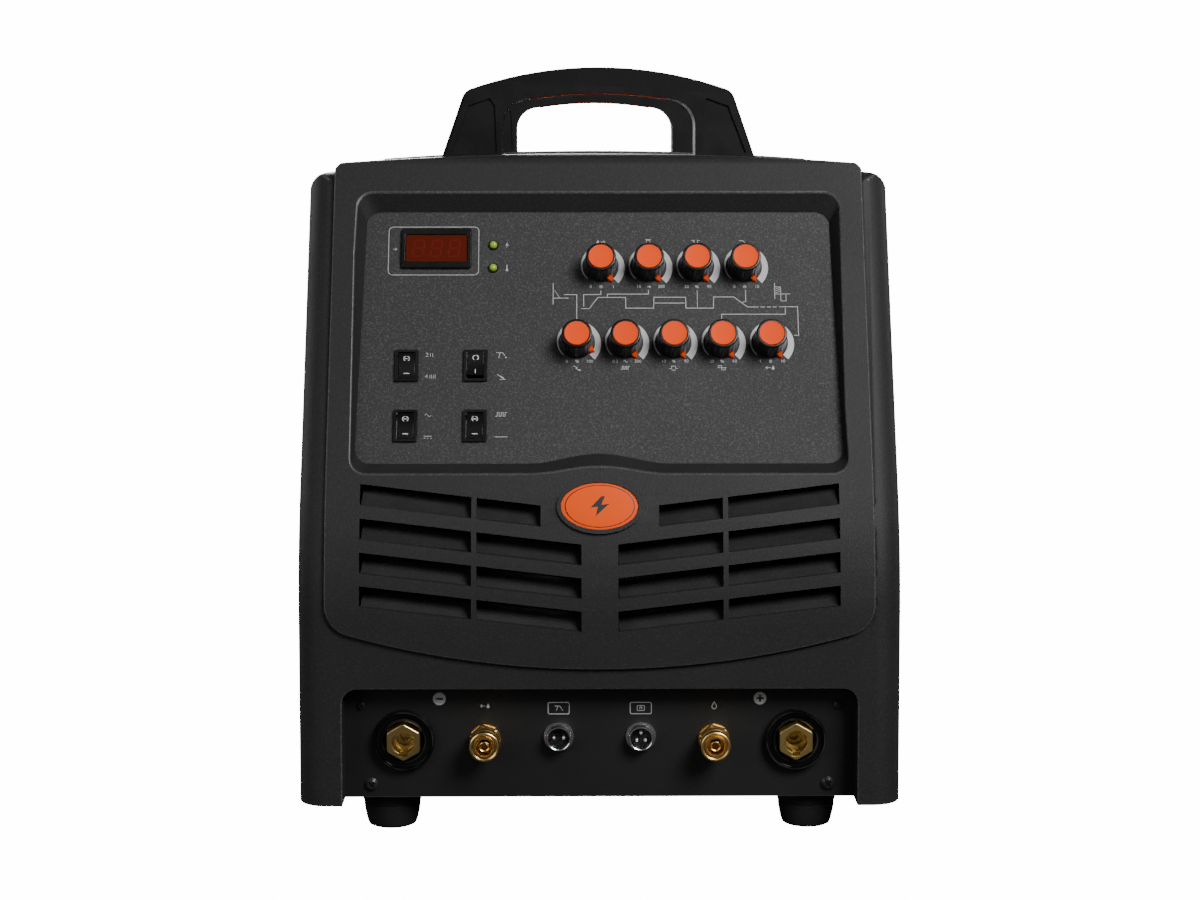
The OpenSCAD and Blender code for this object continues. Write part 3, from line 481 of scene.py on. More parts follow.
class Effect(Enum):
    """The shared shader groups."""

    GRAIN = "moulded_grain"
    SPECKLE = "paint_speckle"
    WEAR = "edge_wear"
    DUST = "settled_dust"
    BRUSH = "brushed_lines"


@dataclass
class EffectLibrary:
    """Builds each shared shader group once."""

    built: dict[Effect, bpy.types.NodeTree] = field(default_factory=dict)

    def get(self, effect: Effect) -> bpy.types.NodeTree:
        """The group for an effect, made at its first use.

        Args:
            effect: which one.

        Returns:
            Its node tree.
        """
        if effect not in self.built:
            makers = {
                Effect.GRAIN: self._grain,
                Effect.SPECKLE: self._speckle,
                Effect.WEAR: self._wear,
                Effect.DUST: self._dust,
                Effect.BRUSH: self._brush,
            }
            self.built[effect] = makers[effect]()
        return self.built[effect]

    @staticmethod
    def _group(effect: Effect, numbers: dict[str, float], outputs: Sequence[str]) -> tuple:
        """An empty group with a Vector and named numbers coming in, and named numbers going out.

        Args:
            effect: whose group it is.
            numbers: name and default of each number that comes in.
            outputs: name of each number that goes out.

        Returns:
            The tree, the sockets that come in and the sockets that go out.
        """
        tree = bpy.data.node_groups.new(effect.value, "ShaderNodeTree")
        tree.interface.new_socket("Vector", in_out="INPUT", socket_type="NodeSocketVector")
        for key, value in numbers.items():
            socket = tree.interface.new_socket(key, in_out="INPUT", socket_type="NodeSocketFloat")
            socket.default_value = value
        for key in outputs:
            tree.interface.new_socket(key, in_out="OUTPUT", socket_type="NodeSocketFloat")
        return tree, tree.nodes.new("NodeGroupInput").outputs, tree.nodes.new("NodeGroupOutput").inputs

    def _grain(self) -> bpy.types.NodeTree:
        """Spark-eroded mould texture: rounded cells and fine noise; Patch is a slow variation.

        Returns:
            The group.
        """
        tree, given, out = self._group(Effect.GRAIN, {"Scale": 900.0}, ["Height", "Patch"])
        cells = add_node(
            tree, "ShaderNodeTexVoronoi", {"Vector": given["Vector"], "Scale": given["Scale"]}, feature="SMOOTH_F1"
        ).outputs["Distance"]
        fine = maths(tree, "MULTIPLY", given["Scale"], 1.7)
        noise = add_node(
            tree, "ShaderNodeTexNoise", {"Vector": given["Vector"], "Scale": fine, "Detail": 2.0}
        ).outputs[0]
        height = maths(tree, "ADD", maths(tree, "MULTIPLY", cells, 0.6), maths(tree, "MULTIPLY", noise, 0.6))
        slow = maths(tree, "MULTIPLY", given["Scale"], 0.012)
        patch_noise = add_node(
            tree, "ShaderNodeTexNoise", {"Vector": given["Vector"], "Scale": slow, "Detail": 3.0}
        ).outputs[0]
        tree.links.new(height, out["Height"])
        tree.links.new(ramp(tree, patch_noise, 0.3, 0.7), out["Patch"])
        return tree

    def _speckle(self) -> bpy.types.NodeTree:
        """Light flecks of a textured coat: small noise peaks above a level.

        Returns:
            The group.
        """
        tree, given, out = self._group(Effect.SPECKLE, {"Scale": 900.0, "Level": 0.6}, ["Fleck"])
        noise = add_node(
            tree,
            "ShaderNodeTexNoise",
            {"Vector": given["Vector"], "Scale": given["Scale"], "Detail": 4.0, "Roughness": 0.75},
        ).outputs[0]
        over = maths(tree, "SUBTRACT", noise, given["Level"])
        tree.links.new(maths(tree, "MULTIPLY", over, 6.0, clamp=True), out["Fleck"])
        return tree

    def _wear(self) -> bpy.types.NodeTree:
        """Rubbed convex edges: pointiness above its middle, broken up by noise.

        Returns:
            The group.
        """
        tree, given, out = self._group(Effect.WEAR, {"Amount": 0.5, "Scale": 60.0}, ["Mask"])
        point = add_node(tree, "ShaderNodeNewGeometry").outputs["Pointiness"]
        edge = ramp(tree, point, 0.515, 0.58)
        noise = add_node(
            tree, "ShaderNodeTexNoise", {"Vector": given["Vector"], "Scale": given["Scale"], "Detail": 5.0}
        ).outputs[0]
        broken = maths(tree, "MULTIPLY", edge, ramp(tree, noise, 0.35, 0.65))
        tree.links.new(maths(tree, "MULTIPLY", broken, given["Amount"], clamp=True), out["Mask"])
        return tree

    def _dust(self) -> bpy.types.NodeTree:
        """Dust on faces that look up: the normal's z, broken up by noise.

        Returns:
            The group.
        """
        tree, given, out = self._group(Effect.DUST, {"Amount": 0.3, "Scale": 25.0}, ["Mask"])
        normal = add_node(tree, "ShaderNodeNewGeometry").outputs["Normal"]
        upward = add_node(tree, "ShaderNodeSeparateXYZ", {0: normal}).outputs[2]
        noise = add_node(
            tree, "ShaderNodeTexNoise", {"Vector": given["Vector"], "Scale": given["Scale"], "Detail": 6.0}
        ).outputs[0]
        lying = maths(tree, "MULTIPLY", ramp(tree, upward, 0.35, 1.0), ramp(tree, noise, 0.3, 0.75))
        tree.links.new(maths(tree, "MULTIPLY", lying, given["Amount"], clamp=True), out["Mask"])
        return tree

    def _brush(self) -> bpy.types.NodeTree:
        """Turned or brushed metal: noise squeezed along one axis.

        Returns:
            The group.
        """
        tree, given, out = self._group(Effect.BRUSH, {"Across": 2500.0, "Along": 60.0}, ["Line"])
        stretch = add_node(tree, "ShaderNodeCombineXYZ", {0: given["Along"], 1: given["Across"], 2: given["Along"]})
        squeezed = add_node(
            tree, "ShaderNodeVectorMath", {0: given["Vector"], 1: stretch.outputs[0]}, operation="MULTIPLY"
        ).outputs[0]
        noise = add_node(tree, "ShaderNodeTexNoise", {"Vector": squeezed, "Scale": 1.0, "Detail": 3.0}).outputs[0]
        tree.links.new(noise, out["Line"])
        return tree


EFFECTS = EffectLibrary()


# ---- finishes ---------------------------------------------------------------


def grey(level: float) -> tuple[float, float, float, float]:
    """A barely cool grey of that linear level."""
    return (level, level, level * 1.02, 1.0)


@dataclass(frozen=True)
class Finish:
    """A surface finish: base colour, gloss, texture depth, flecks, wear and dust."""

    name: str
    colour: tuple[float, float, float, float]
    second: tuple[float, float, float, float]
    roughness: float = 0.5
    spread: float = 0.08
    metallic: float = 0.0
    grain: float = 900.0
    depth: float = 0.0
    fleck: float = 0.0
    fleck_level: float = 0.6
    wear: float = 0.0
    worn: tuple[float, float, float, float] = (0.25, 0.25, 0.26, 1.0)
    dust: float = 0.0
    brushed: float = 0.0
    coat: float = 0.0
    specular: float = 0.5
    slot: str = ""

    def make(self) -> bpy.types.Material:
        """The finish as a material, built at its first use.

        Returns:
            The material.
        """
        known = bpy.data.materials.get(self.name)
        if known is not None and known.get("finish"):
            return known
        material = bpy.data.materials.new(self.name)
        material["finish"] = 1
        material.use_nodes = True
        tree = material.node_tree
        tree.nodes.clear()
        where = add_node(tree, "ShaderNodeTexCoord").outputs["Object"]
        grain = self._effect(tree, Effect.GRAIN, {"Vector": where, "Scale": self.grain})
        colour = self._mix(tree, grain["Patch"], self.colour, self.second)
        rough = maths(tree, "MULTIPLY", grain["Patch"], self.spread)
        rough = maths(tree, "ADD", rough, self.roughness - self.spread / 2)
        if self.fleck > 0:
            spots = self._effect(
                tree, Effect.SPECKLE, {"Vector": where, "Scale": self.grain * 1.1, "Level": self.fleck_level}
            )["Fleck"]
            colour = self._mix(tree, maths(tree, "MULTIPLY", spots, self.fleck), colour, self.worn)
        if self.dust > 0:
            lying = self._effect(tree, Effect.DUST, {"Vector": where, "Amount": self.dust})["Mask"]
            colour = self._mix(tree, lying, colour, (0.24, 0.23, 0.21, 1.0))
            rough = maths(tree, "ADD", rough, maths(tree, "MULTIPLY", lying, 0.5), clamp=True)
        if self.wear > 0:
            rubbed = self._effect(tree, Effect.WEAR, {"Vector": where, "Amount": self.wear})["Mask"]
            colour = self._mix(tree, rubbed, colour, self.worn)
            rough = maths(tree, "SUBTRACT", rough, maths(tree, "MULTIPLY", rubbed, 0.15), clamp=True)
        height = grain["Height"]
        if self.brushed > 0:
            line = self._effect(tree, Effect.BRUSH, {"Vector": where})["Line"]
            height = maths(tree, "ADD", maths(tree, "MULTIPLY", height, 0.3), line)
            rough = maths(tree, "ADD", rough, maths(tree, "MULTIPLY", line, self.brushed), clamp=True)
        shader = add_node(tree, "ShaderNodeBsdfPrincipled", {"Base Color": colour, "Roughness": rough})
        shader.inputs["Metallic"].default_value = self.metallic
        shader.inputs["Specular IOR Level"].default_value = self.specular
        shader.inputs["Coat Weight"].default_value = self.coat
        shader.inputs["Coat Roughness"].default_value = 0.08
        if self.depth > 0:
            bump = add_node(tree, "ShaderNodeBump", {"Height": height, "Strength": 1.0, "Distance": self.depth * MM})
            tree.links.new(bump.outputs[0], shader.inputs["Normal"])
        add_node(tree, "ShaderNodeOutputMaterial", {"Surface": shader.outputs[0]})
        return material

    @staticmethod
    def _effect(tree: bpy.types.NodeTree, effect: Effect, inputs: dict) -> bpy.types.bpy_prop_collection:
        """Places a shared group in the tree and gives its outputs."""
        return add_node(tree, "ShaderNodeGroup", inputs, node_tree=EFFECTS.get(effect)).outputs

    @staticmethod
    def _mix(tree: bpy.types.NodeTree, factor: object, a: object, b: object) -> bpy.types.NodeSocket:
        """A blend of two colours."""
        return add_node(tree, "ShaderNodeMix", {0: factor, 6: a, 7: b}, data_type="RGBA").outputs[2]


CASE = Finish("case_moulding", grey(0.0120), grey(0.0132), 0.58, 0.06, grain=900, depth=0.12, fleck=0.6,
              fleck_level=0.52, wear=0.2, worn=grey(0.040), dust=0.012, specular=0.32, slot="case_moulding")
# Rim finish: lighter and glossier than the case moulding, a painted highlight along the rounded bezel edges
RIM_HIGHLIGHT = Finish("case_rim_painted_highlight", grey(0.042), grey(0.030), 0.42, 0.06, grain=900, depth=0.12, fleck=0.9, fleck_level=0.5,
             worn=grey(0.11), specular=0.4, slot="case_moulding")
PANEL = Finish("panel_coat", grey(0.0140), grey(0.0158), 0.66, 0.06, grain=760, depth=0.18, fleck=0.9,
               fleck_level=0.50, worn=grey(0.072), slot="panel_coat")
SHEET = Finish("sheet_coat", grey(0.0060), grey(0.0068), 0.52, 0.08, grain=900, depth=0.06, fleck=0.3,
               worn=grey(0.025), slot="panel_coat")
COVER = Finish("cover_coat", grey(0.0115), grey(0.0130), 0.52, 0.08, grain=1200, depth=0.1, fleck=0.4, wear=0.2,
               worn=grey(0.04), dust=0.02, slot="cover_coat")
STEEL = Finish("chassis_steel", grey(0.30), grey(0.40), 0.38, 0.2, metallic=1.0, grain=120,
               depth=0.02, slot="chassis_steel")
ORANGE = Finish("orange_plastic", (0.97, 0.075, 0.001, 1), (0.91, 0.067, 0.001, 1), 0.5, 0.06, grain=1400,
                depth=0.015, specular=0.12, slot="orange_plastic")
BADGE = Finish("badge_orange", (0.98, 0.100, 0.001, 1), (0.94, 0.092, 0.001, 1), 0.45, 0.05, grain=300,
               depth=0.01, specular=0.12, slot="badge_orange")
BADGE_INK = Finish("badge_ink", grey(0.008), grey(0.010), 0.45, 0.05, slot="switch_black")
KNOB = Finish("knob_black", grey(0.0030), grey(0.0036), 0.27, 0.06, grain=1600, depth=0.015, wear=0.25,
              worn=grey(0.02), slot="knob_black")
SWITCH = Finish("switch_black", grey(0.0045), grey(0.0055), 0.27, 0.08, grain=1500, depth=0.012,
                slot="switch_black")
INK = Finish("print_white", grey(0.42), grey(0.36), 0.5, 0.1, grain=700, slot="panel_coat")
SILVER = Finish("print_silver", grey(0.62), grey(0.48), 0.38, 0.12, grain=500, slot="panel_coat")
GREY_INK = Finish("print_grey", grey(0.58), grey(0.50), 0.5, 0.1, slot="panel_coat")
MARK = Finish("rocker_mark", grey(0.75), grey(0.65), 0.45, 0.05, slot="switch_black")
DISPLAY = Finish("display_red", (0.085, 0.0105, 0.0035, 1), (0.075, 0.0090, 0.0030, 1), 0.16, 0.05, grain=300,
                 specular=0.3, coat=0.2, slot="display_red")
SEGMENT = Finish("display_segment", (0.13, 0.0075, 0.005, 1), (0.11, 0.0065, 0.0045, 1), 0.3, 0.05, specular=0.2,
                 slot="display_red")
LAMP = Finish("lamp_green", (0.30, 0.50, 0.030, 1), (0.24, 0.42, 0.022, 1), 0.2, 0.05, grain=600, coat=0.4,
              slot="lamp_green")
# Insulator: the lighter rubbed rims from the edge wear are edge wear and also a painted highlight along the flange
# rims
INSULATOR = Finish("insulator_black", grey(0.0025), grey(0.0032), 0.14, 0.05, grain=900, depth=0.004, wear=0.9,
                   worn=grey(0.05), slot="insulator_black")
BRASS = Finish("brass", (0.94, 0.66, 0.26, 1), (0.84, 0.55, 0.18, 1), 0.27, 0.12, metallic=1.0, grain=240,
               depth=0.02, slot="brass")
BRASS_DARK = Finish("brass_bore", (0.95, 0.38, 0.07, 1), (0.80, 0.29, 0.05, 1), 0.4, 0.16, metallic=1.0,
                    grain=260, depth=0.03, slot="brass")
BRASS_DULL = Finish("brass_hexagon", (0.72, 0.54, 0.22, 1), (0.60, 0.44, 0.16, 1), 0.36, 0.14, metallic=1.0,
                    grain=300, depth=0.02, slot="brass")
CHROME = Finish("chrome", grey(0.92), grey(0.85), 0.2, 0.08, metallic=1.0, grain=300,
                depth=0.006, slot="chrome")
PIN = Finish("silver_pin", grey(0.9), grey(0.8), 0.3, 0.1, metallic=1.0, slot="chrome")
SCREW = Finish("screw_black", grey(0.012), grey(0.009), 0.36, 0.1, grain=500, depth=0.02,
               wear=0.4, worn=grey(0.05), slot="screw_black")
RUBBER = Finish("rubber", grey(0.0040), grey(0.0050), 0.8, 0.1, grain=800, depth=0.06, dust=0.02,
                slot="rubber")
HANDLE = Finish("handle_black", grey(0.0052), grey(0.0062), 0.5, 0.08, grain=900, depth=0.07, fleck=0.3,
                wear=0.3, worn=grey(0.022), dust=0.012, specular=0.2, slot="handle_black")
FAN = Finish("fan_black", grey(0.008), grey(0.012), 0.45, 0.1, grain=700, depth=0.03, slot="fan_black")
WIRE = Finish("guard_wire", grey(0.45), grey(0.34), 0.26, 0.12, metallic=1.0, grain=200,
              depth=0.01, slot="guard_wire")
LEVER = Finish("switch_grey", grey(0.42), grey(0.36), 0.42, 0.1, grain=1100, depth=0.02,
               slot="switch_grey")
ALUMINIUM = Finish("aluminium", grey(0.62), grey(0.50), 0.34, 0.14, metallic=1.0, grain=160,
                   depth=0.02, brushed=0.18, slot="aluminium")
CORE = Finish("core_steel", grey(0.11), grey(0.075), 0.46, 0.2, metallic=0.8, grain=200, depth=0.04,
              brushed=0.1, slot="core_steel")
BOARD = Finish("circuit_green", (0.010, 0.09, 0.040, 1), (0.008, 0.07, 0.030, 1), 0.36, 0.1, grain=260, depth=0.03,
               fleck=0.5, worn=(0.5, 0.45, 0.2, 1), slot="circuit_green")
WINDING = Finish("winding", (0.32, 0.10, 0.025, 1), (0.22, 0.06, 0.015, 1), 0.34, 0.2, grain=300, depth=0.1,
                 brushed=0.1, slot="winding")
POT = Finish("pot_metal", grey(0.34), grey(0.24), 0.38, 0.15, metallic=0.9, grain=300,
             depth=0.02, slot="pot_metal")


# ---- pieces -----------------------------------------------------------------


def soften(mesh: bpy.types.Mesh, angle: float) -> None:
    """Shades smooth, with edges sharper than an angle in degrees kept sharp."""
    mesh.shade_smooth()
    mesh.set_sharp_from_angle(angle=math.radians(angle))


def dress(piece: bpy.types.Object, finishes: Sequence[Finish]) -> None:
    """Gives a piece its materials.

    Args:
        piece: the object.
        finishes: one per slot number.
    """
    piece.data.materials.clear()
    for finish in finishes:
        piece.data.materials.append(finish.make())


def steady_normals(piece: bpy.types.Object) -> None:
    """Lets a piece's large faces set its shading: each normal is the area-weighted sum of its faces.

    Args:
        piece: the object.
    """
    weighted = piece.modifiers.new("steady_normals", "WEIGHTED_NORMAL")
    weighted.mode = "FACE_AREA"
    weighted.weight = 90
    weighted.keep_sharp = True


def edge_round(piece: bpy.types.Object, width: float, segments: int = 2) -> None:
    """Rounds the sharp edges with a bevel; a width of zero leaves them.

    Args:
        piece: the object.
        width: in millimetres.
        segments: of the rounding.
    """
    if width <= 0:
        return
    bevel = piece.modifiers.new("edge_round", "BEVEL")
    bevel.width = width * MM
    bevel.segments = segments
    bevel.limit_method = "ANGLE"
    bevel.angle_limit = math.radians(BEVEL_ANGLE)
    bevel.use_clamp_overlap = True
    bevel.harden_normals = False
    bevel.miter_outer = "MITER_ARC"


def make_piece(
    name: str,
    shape: Shape,
    finishes: Finish | Sequence[Finish],
    body: str = "chassis",
    instead_of: Sequence[str] = (),
    smooth: float = 35.0,
) -> bpy.types.Object:
    """Turns a shape into a piece that rides on a body.

    Args:
        name: of the piece.
        shape: in millimetres in the row frame.
        finishes: one finish, or one per slot number.
        body: that it moves with.
        instead_of: CAD nodes it stands for.
        smooth: edges sharper than this stay sharp.

    Returns:
        The object.
    """
    finishes = [finishes] if isinstance(finishes, Finish) else list(finishes)
    mesh = bpy.data.meshes.new(name)
    mesh.from_pydata((shape.points * MM).tolist(), [], shape.faces)
    mesh.polygons.foreach_set("material_index", np.asarray(shape.slots, np.int32))
    work = bmesh.new()
    work.from_mesh(mesh)
    bmesh.ops.remove_doubles(work, verts=work.verts, dist=1e-6)
    bmesh.ops.recalc_face_normals(work, faces=work.faces)
    work.to_mesh(mesh)
    work.free()
    soften(mesh, smooth)
    piece = bpy.data.objects.new(name, mesh)
    bpy.context.scene.collection.objects.link(piece)
    dress(piece, finishes)
    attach(piece, body)
    if instead_of:
        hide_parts(*instead_of)
    LOG.info("%s: %d faces on %s", name, len(mesh.polygons), body)
    return piece


def body_with(node: str) -> str:
    """The body that holds a CAD node."""
    bodies = frame["record"]["behaviour"]["bodies"]
    return next(b for b, nodes in bodies.items() if node in nodes)


def merged_copy(node: str) -> bmesh.types.BMesh:
    """A CAD node's mesh with its loose triangles joined and its flat faces made whole.

    Args:
        node: the CAD node.

    Returns:
        The mesh, to be freed by the caller.
    """
    work = bmesh.new()
    work.from_mesh(frame["nodes"][node].data)
    bmesh.ops.remove_doubles(work, verts=work.verts, dist=2e-6)
    bmesh.ops.dissolve_limit(
        work, angle_limit=math.radians(0.4), verts=work.verts, edges=work.edges, delimit={"NORMAL"}
    )
    return work


def refined(
    node: str, finish: Finish, bevel: float = 0.4, segments: int = 2, smooth: float = 35.0
) -> bpy.types.Object:
    """A piece in a CAD node's own shape with rounded edges and smooth shading, which stands for it.

    Args:
        node: the CAD node.
        finish: of the whole piece.
        bevel: edge rounding in millimetres.
        segments: of the rounding.
        smooth: edges sharper than this stay sharp.

    Returns:
        The object.
    """
    work = merged_copy(node)
    mesh = bpy.data.meshes.new(f"{node}_skin")
    work.to_mesh(mesh)
    work.free()
    soften(mesh, smooth)
    piece = bpy.data.objects.new(f"{node}_skin", mesh)
    bpy.context.scene.collection.objects.link(piece)
    dress(piece, [finish])
    edge_round(piece, bevel, segments)
    steady_normals(piece)
    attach(piece, body_with(node))
    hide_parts(node)
    LOG.info("%s: %d faces", piece.name, len(mesh.polygons))
    return piece


def keep(node: str, finish: Finish) -> None:
    """Keeps a CAD node as it is and gives it a finish."""
    dress(frame["nodes"][node], [finish])
    LOG.info("%s kept", node)


# ---- case -------------------------------------------------------------------


@dataclass
class Case:
    """Moulded bezels, sheet cover, panels, badge and screws.

    grille holds its half width, bottom, top and back.
    """

    badge_half_width: float = 24.3
    badge_half_height: float = 15.0
    badge_rise: float = 1.7
    badge_edge: float = 0.75
    badge_steps: int = 96
    ring_width: float = 0.7
    # x of the dark sheets that stand in for the shade behind the side louvres
    shade_sheet_at: float = 184.2
    rim_round: float = 0.9
    rim_angle: float = 24.0
    grille: tuple[float, float, float, float] = (153.0, 131.0, 229.0, -150.0)

    def build(self) -> None:
        """Builds and dresses the case."""
        self.round_rims(refined("front_bezel", CASE, bevel=0.0))
        self.round_rims(refined("rear_bezel", CASE, bevel=0.0))
        refined("cover", COVER, bevel=0.0)
        refined("socket_panel", SHEET, bevel=0.0)
        refined("rear_panel", SHEET, bevel=0.3)
        refined("control_panel", PANEL, bevel=0.0)
        refined("screws", SCREW, bevel=0.12)
        keep("base_plate", STEEL)
        self.build_badge()
        self.build_shade_sheets()

    def round_rims(self, skin: bpy.types.Object) -> None:
        """Rounds a bezel's outward edges, apart from those among the grille's slots, and paints the rounding lighter
        as a highlight along the edges.

        Args:
            skin: the bezel's piece.
        """
        work = bmesh.new()
        work.from_mesh(skin.data)
        weight = work.edges.layers.float.new("bevel_weight_edge")
        for edge in work.edges:
            if len(edge.link_faces) != 2 or edge.calc_face_angle_signed() < math.radians(self.rim_angle):
                continue
            middle = (edge.verts[0].co + edge.verts[1].co) / (2 * MM)
            half_width, bottom, top, back = self.grille
            in_grille = abs(middle.x) < half_width and bottom < middle.z < top and middle.y < back
            edge[weight] = 0.0 if in_grille else 1.0
        work.to_mesh(skin.data)
        work.free()
        # the lighter rim finish on the rounded edges is a painted highlight
        skin.data.materials.append(RIM_HIGHLIGHT.make())
        edge_round(skin, self.rim_round, 3)
        bevel = skin.modifiers["edge_round"]
        bevel.limit_method, bevel.use_clamp_overlap = "WEIGHT", False
        bevel.material = 1
        skin.modifiers.move(len(skin.modifiers) - 1, 0)

    def build_shade_sheets(self) -> None:
        """A thin dark sheet behind each side's louvres, in shallow waves: x = k cos(2 pi z / pitch). It stands in for
        the shade inside the machine and hides the bright surroundings through the louvres.
        """
        y = np.linspace(-89.0, 145.0, 2)
        z = np.linspace(146.0, 257.0, 89)
        yy, zz = np.meshgrid(y, z, indexing="ij")
        wave = 0.35 * np.cos(2 * math.pi * zz / 5.0)
        shade_sheets = []
        for side in (-1, 1):
            x = side * (self.shade_sheet_at + wave)
            inner, outer = (np.stack([x + side * t, yy, zz], -1) for t in (-0.3, 0.3))
            skin = np.concatenate([outer, inner[:, ::-1]], axis=1)
            shade_sheets.append(grid(skin, wrap_v=True, cap_u=True))
        # dark sheets put in as the shade inside the machine
        make_piece("louvre_shade_sheets", together(shade_sheets), FAN, smooth=50)

    def build_badge(self) -> None:
        """A domed oval with an inked ring and a spark sign; _dome gives its height."""
        low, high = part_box("badge")
        z = 500 * (low.z + high.z)
        tilt = self._badge_tilt()
        normal = (0.0, -math.cos(tilt), math.sin(tilt))
        up = (0.0, math.sin(tilt), math.cos(tilt))
        middle = np.array([0.0, 500 * (low.y + high.y), z]) - 1.1 * np.array(normal)
        place = Place(tuple(middle), (1, 0, 0), up, normal)
        shares = (0.985, 0.96, 0.92, 0.85, 0.7, 0.5, 0.25, 0.02)
        rings = [(1.0, 0.0), (1.0, self.badge_edge)] + [(k, self._dome(k)) for k in shares]
        skin = stacked([self._oval(k, z) for k, z in rings])
        make_piece("badge_dome", skin.at(place), BADGE, instead_of=["badge"], smooth=50)
        proud = [0, 0, PRINT_RISE]
        edges = (0.905, 0.905 - self.ring_width / self.badge_half_width)
        outer, inner = (self._oval(k, self._dome(k) - 0.01) for k in edges)
        ring = grid(np.stack([outer, outer + proud, inner + proud, inner]), wrap_u=True, wrap_v=True)
        bolt = np.array([
            (1.2, 6.6), (-6.2, -1.0), (-1.2, -0.4), (-2.6, -6.6), (6.2, 1.4), (0.9, 0.8), (3.4, 6.6),
        ])
        sign = prism(bolt * 0.95, 0.9, self._dome(0.0) + 0.05)
        make_piece("badge_sign", (ring + sign).at(place), BADGE_INK)

    def _dome(self, k: float) -> float:
        """Height of the dome at a share k of its size: edge + (rise - edge) (1 - k^3.2)."""
        return self.badge_edge + (self.badge_rise - self.badge_edge) * (1 - k**3.2)

    def _oval(self, k: float, z: float) -> np.ndarray:
        """The badge's oval (a cos t, b sin t) at a share k of its size and a height z."""
        t = np.linspace(0, 2 * math.pi, self.badge_steps, endpoint=False)
        a, b = k * self.badge_half_width, k * self.badge_half_height
        return np.column_stack([a * np.cos(t), b * np.sin(t), np.full(len(t), z)])

    @staticmethod
    def _badge_tilt() -> float:
        """The badge's lean, from its box: depth = 2 b sin(lean), height = 2 b cos(lean)."""
        low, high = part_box("badge")
        return math.atan2(high.y - low.y - 0.0015, high.z - low.z)


# ---- control face -----------------------------------------------------------


class Glyph(Enum):
    """Small pictograms that stand where a label would be."""

    GAS_IN = "gas_in"
    PEAK = "peak"
    BASE = "base"
    SLOPE = "slope"
    FORCE = "force"
    PULSES = "pulses"
    WIDTH = "width"
    BALANCE = "balance"
    GAS_OUT = "gas_out"
    CLOCK = "clock"
    PERCENT = "percent"
    WAVE = "wave"
    DROP = "drop"
    TWO_STEP = "two_step"
    FOUR_STEP = "four_step"
    TORCH = "torch"
    ELECTRODE = "electrode"
    STEADY = "steady"
    ARROW = "arrow"
    BOLT = "bolt"
    THERMOMETER = "thermometer"
    REMOTE = "remote"


def sine(width: float, height: float, waves: float = 1.0, steps: int = 28) -> np.ndarray:
    """Points of y = h sin(2 pi w x / width), centred."""
    x = np.linspace(-width / 2, width / 2, steps)
    return np.column_stack([x, height * np.sin(2 * math.pi * waves * (x / width + 0.5))])


# Pictograms of plain lines: the points of each line
LINE_SIGNS: dict[Glyph, tuple[tuple[tuple[float, float], ...], ...]] = {
    Glyph.PEAK: (
        ((-3, -1), (-1.2, -1), (-1.2, 1.2), (1.2, 1.2), (1.2, -1), (3, -1)),
        ((-2, 1.9), (2, 1.9)),
    ),
    Glyph.BASE: (
        ((-3, 1.2), (-1.2, 1.2), (-1.2, -0.8), (1.2, -0.8), (1.2, 1.2), (3, 1.2)),
        ((-2, -1.6), (2, -1.6)),
    ),
    Glyph.SLOPE: (((-3, 1.2), (-1, 1.2), (2.2, -1.2), (3.2, -1.2)),),
    Glyph.FORCE: (
        ((-2.2, 1.6), (0.2, 0.1), (-0.6, -0.4), (2.2, -1.8)),
        ((1.0, -1.9), (2.3, -1.9), (1.9, -0.8)),
    ),
    Glyph.PULSES: (
        ((-3, -1), (-2, -1), (-2, 1), (-1, 1), (-1, -1), (0, -1), (0, 1), (1, 1), (1, -1), (2, -1), (2, 1), (3, 1)),
    ),
    Glyph.WIDTH: (
        ((-3, -0.6), (-1.4, -0.6), (-1.4, 1.2), (1.4, 1.2), (1.4, -0.6), (3, -0.6)),
        ((-1.4, -1.6), (1.4, -1.6)),
    ),
    Glyph.BALANCE: (
        ((-3, 0), (3, 0)),
        ((-2.4, 0), (-2.4, 1.5), (-0.2, 1.5), (-0.2, -1.5), (2.2, -1.5), (2.2, 0)),
    ),
    Glyph.STEADY: (
        ((-2.6, 0.7), (2.6, 0.7)),
        *(((x - 0.5, -0.7), (x + 0.5, -0.7)) for x in (-2.1, 0.0, 2.1)),
    ),
    Glyph.ARROW: (((-1.2, 0), (1.2, 0)), ((0.4, 0.8), (1.3, 0), (0.4, -0.8))),
}


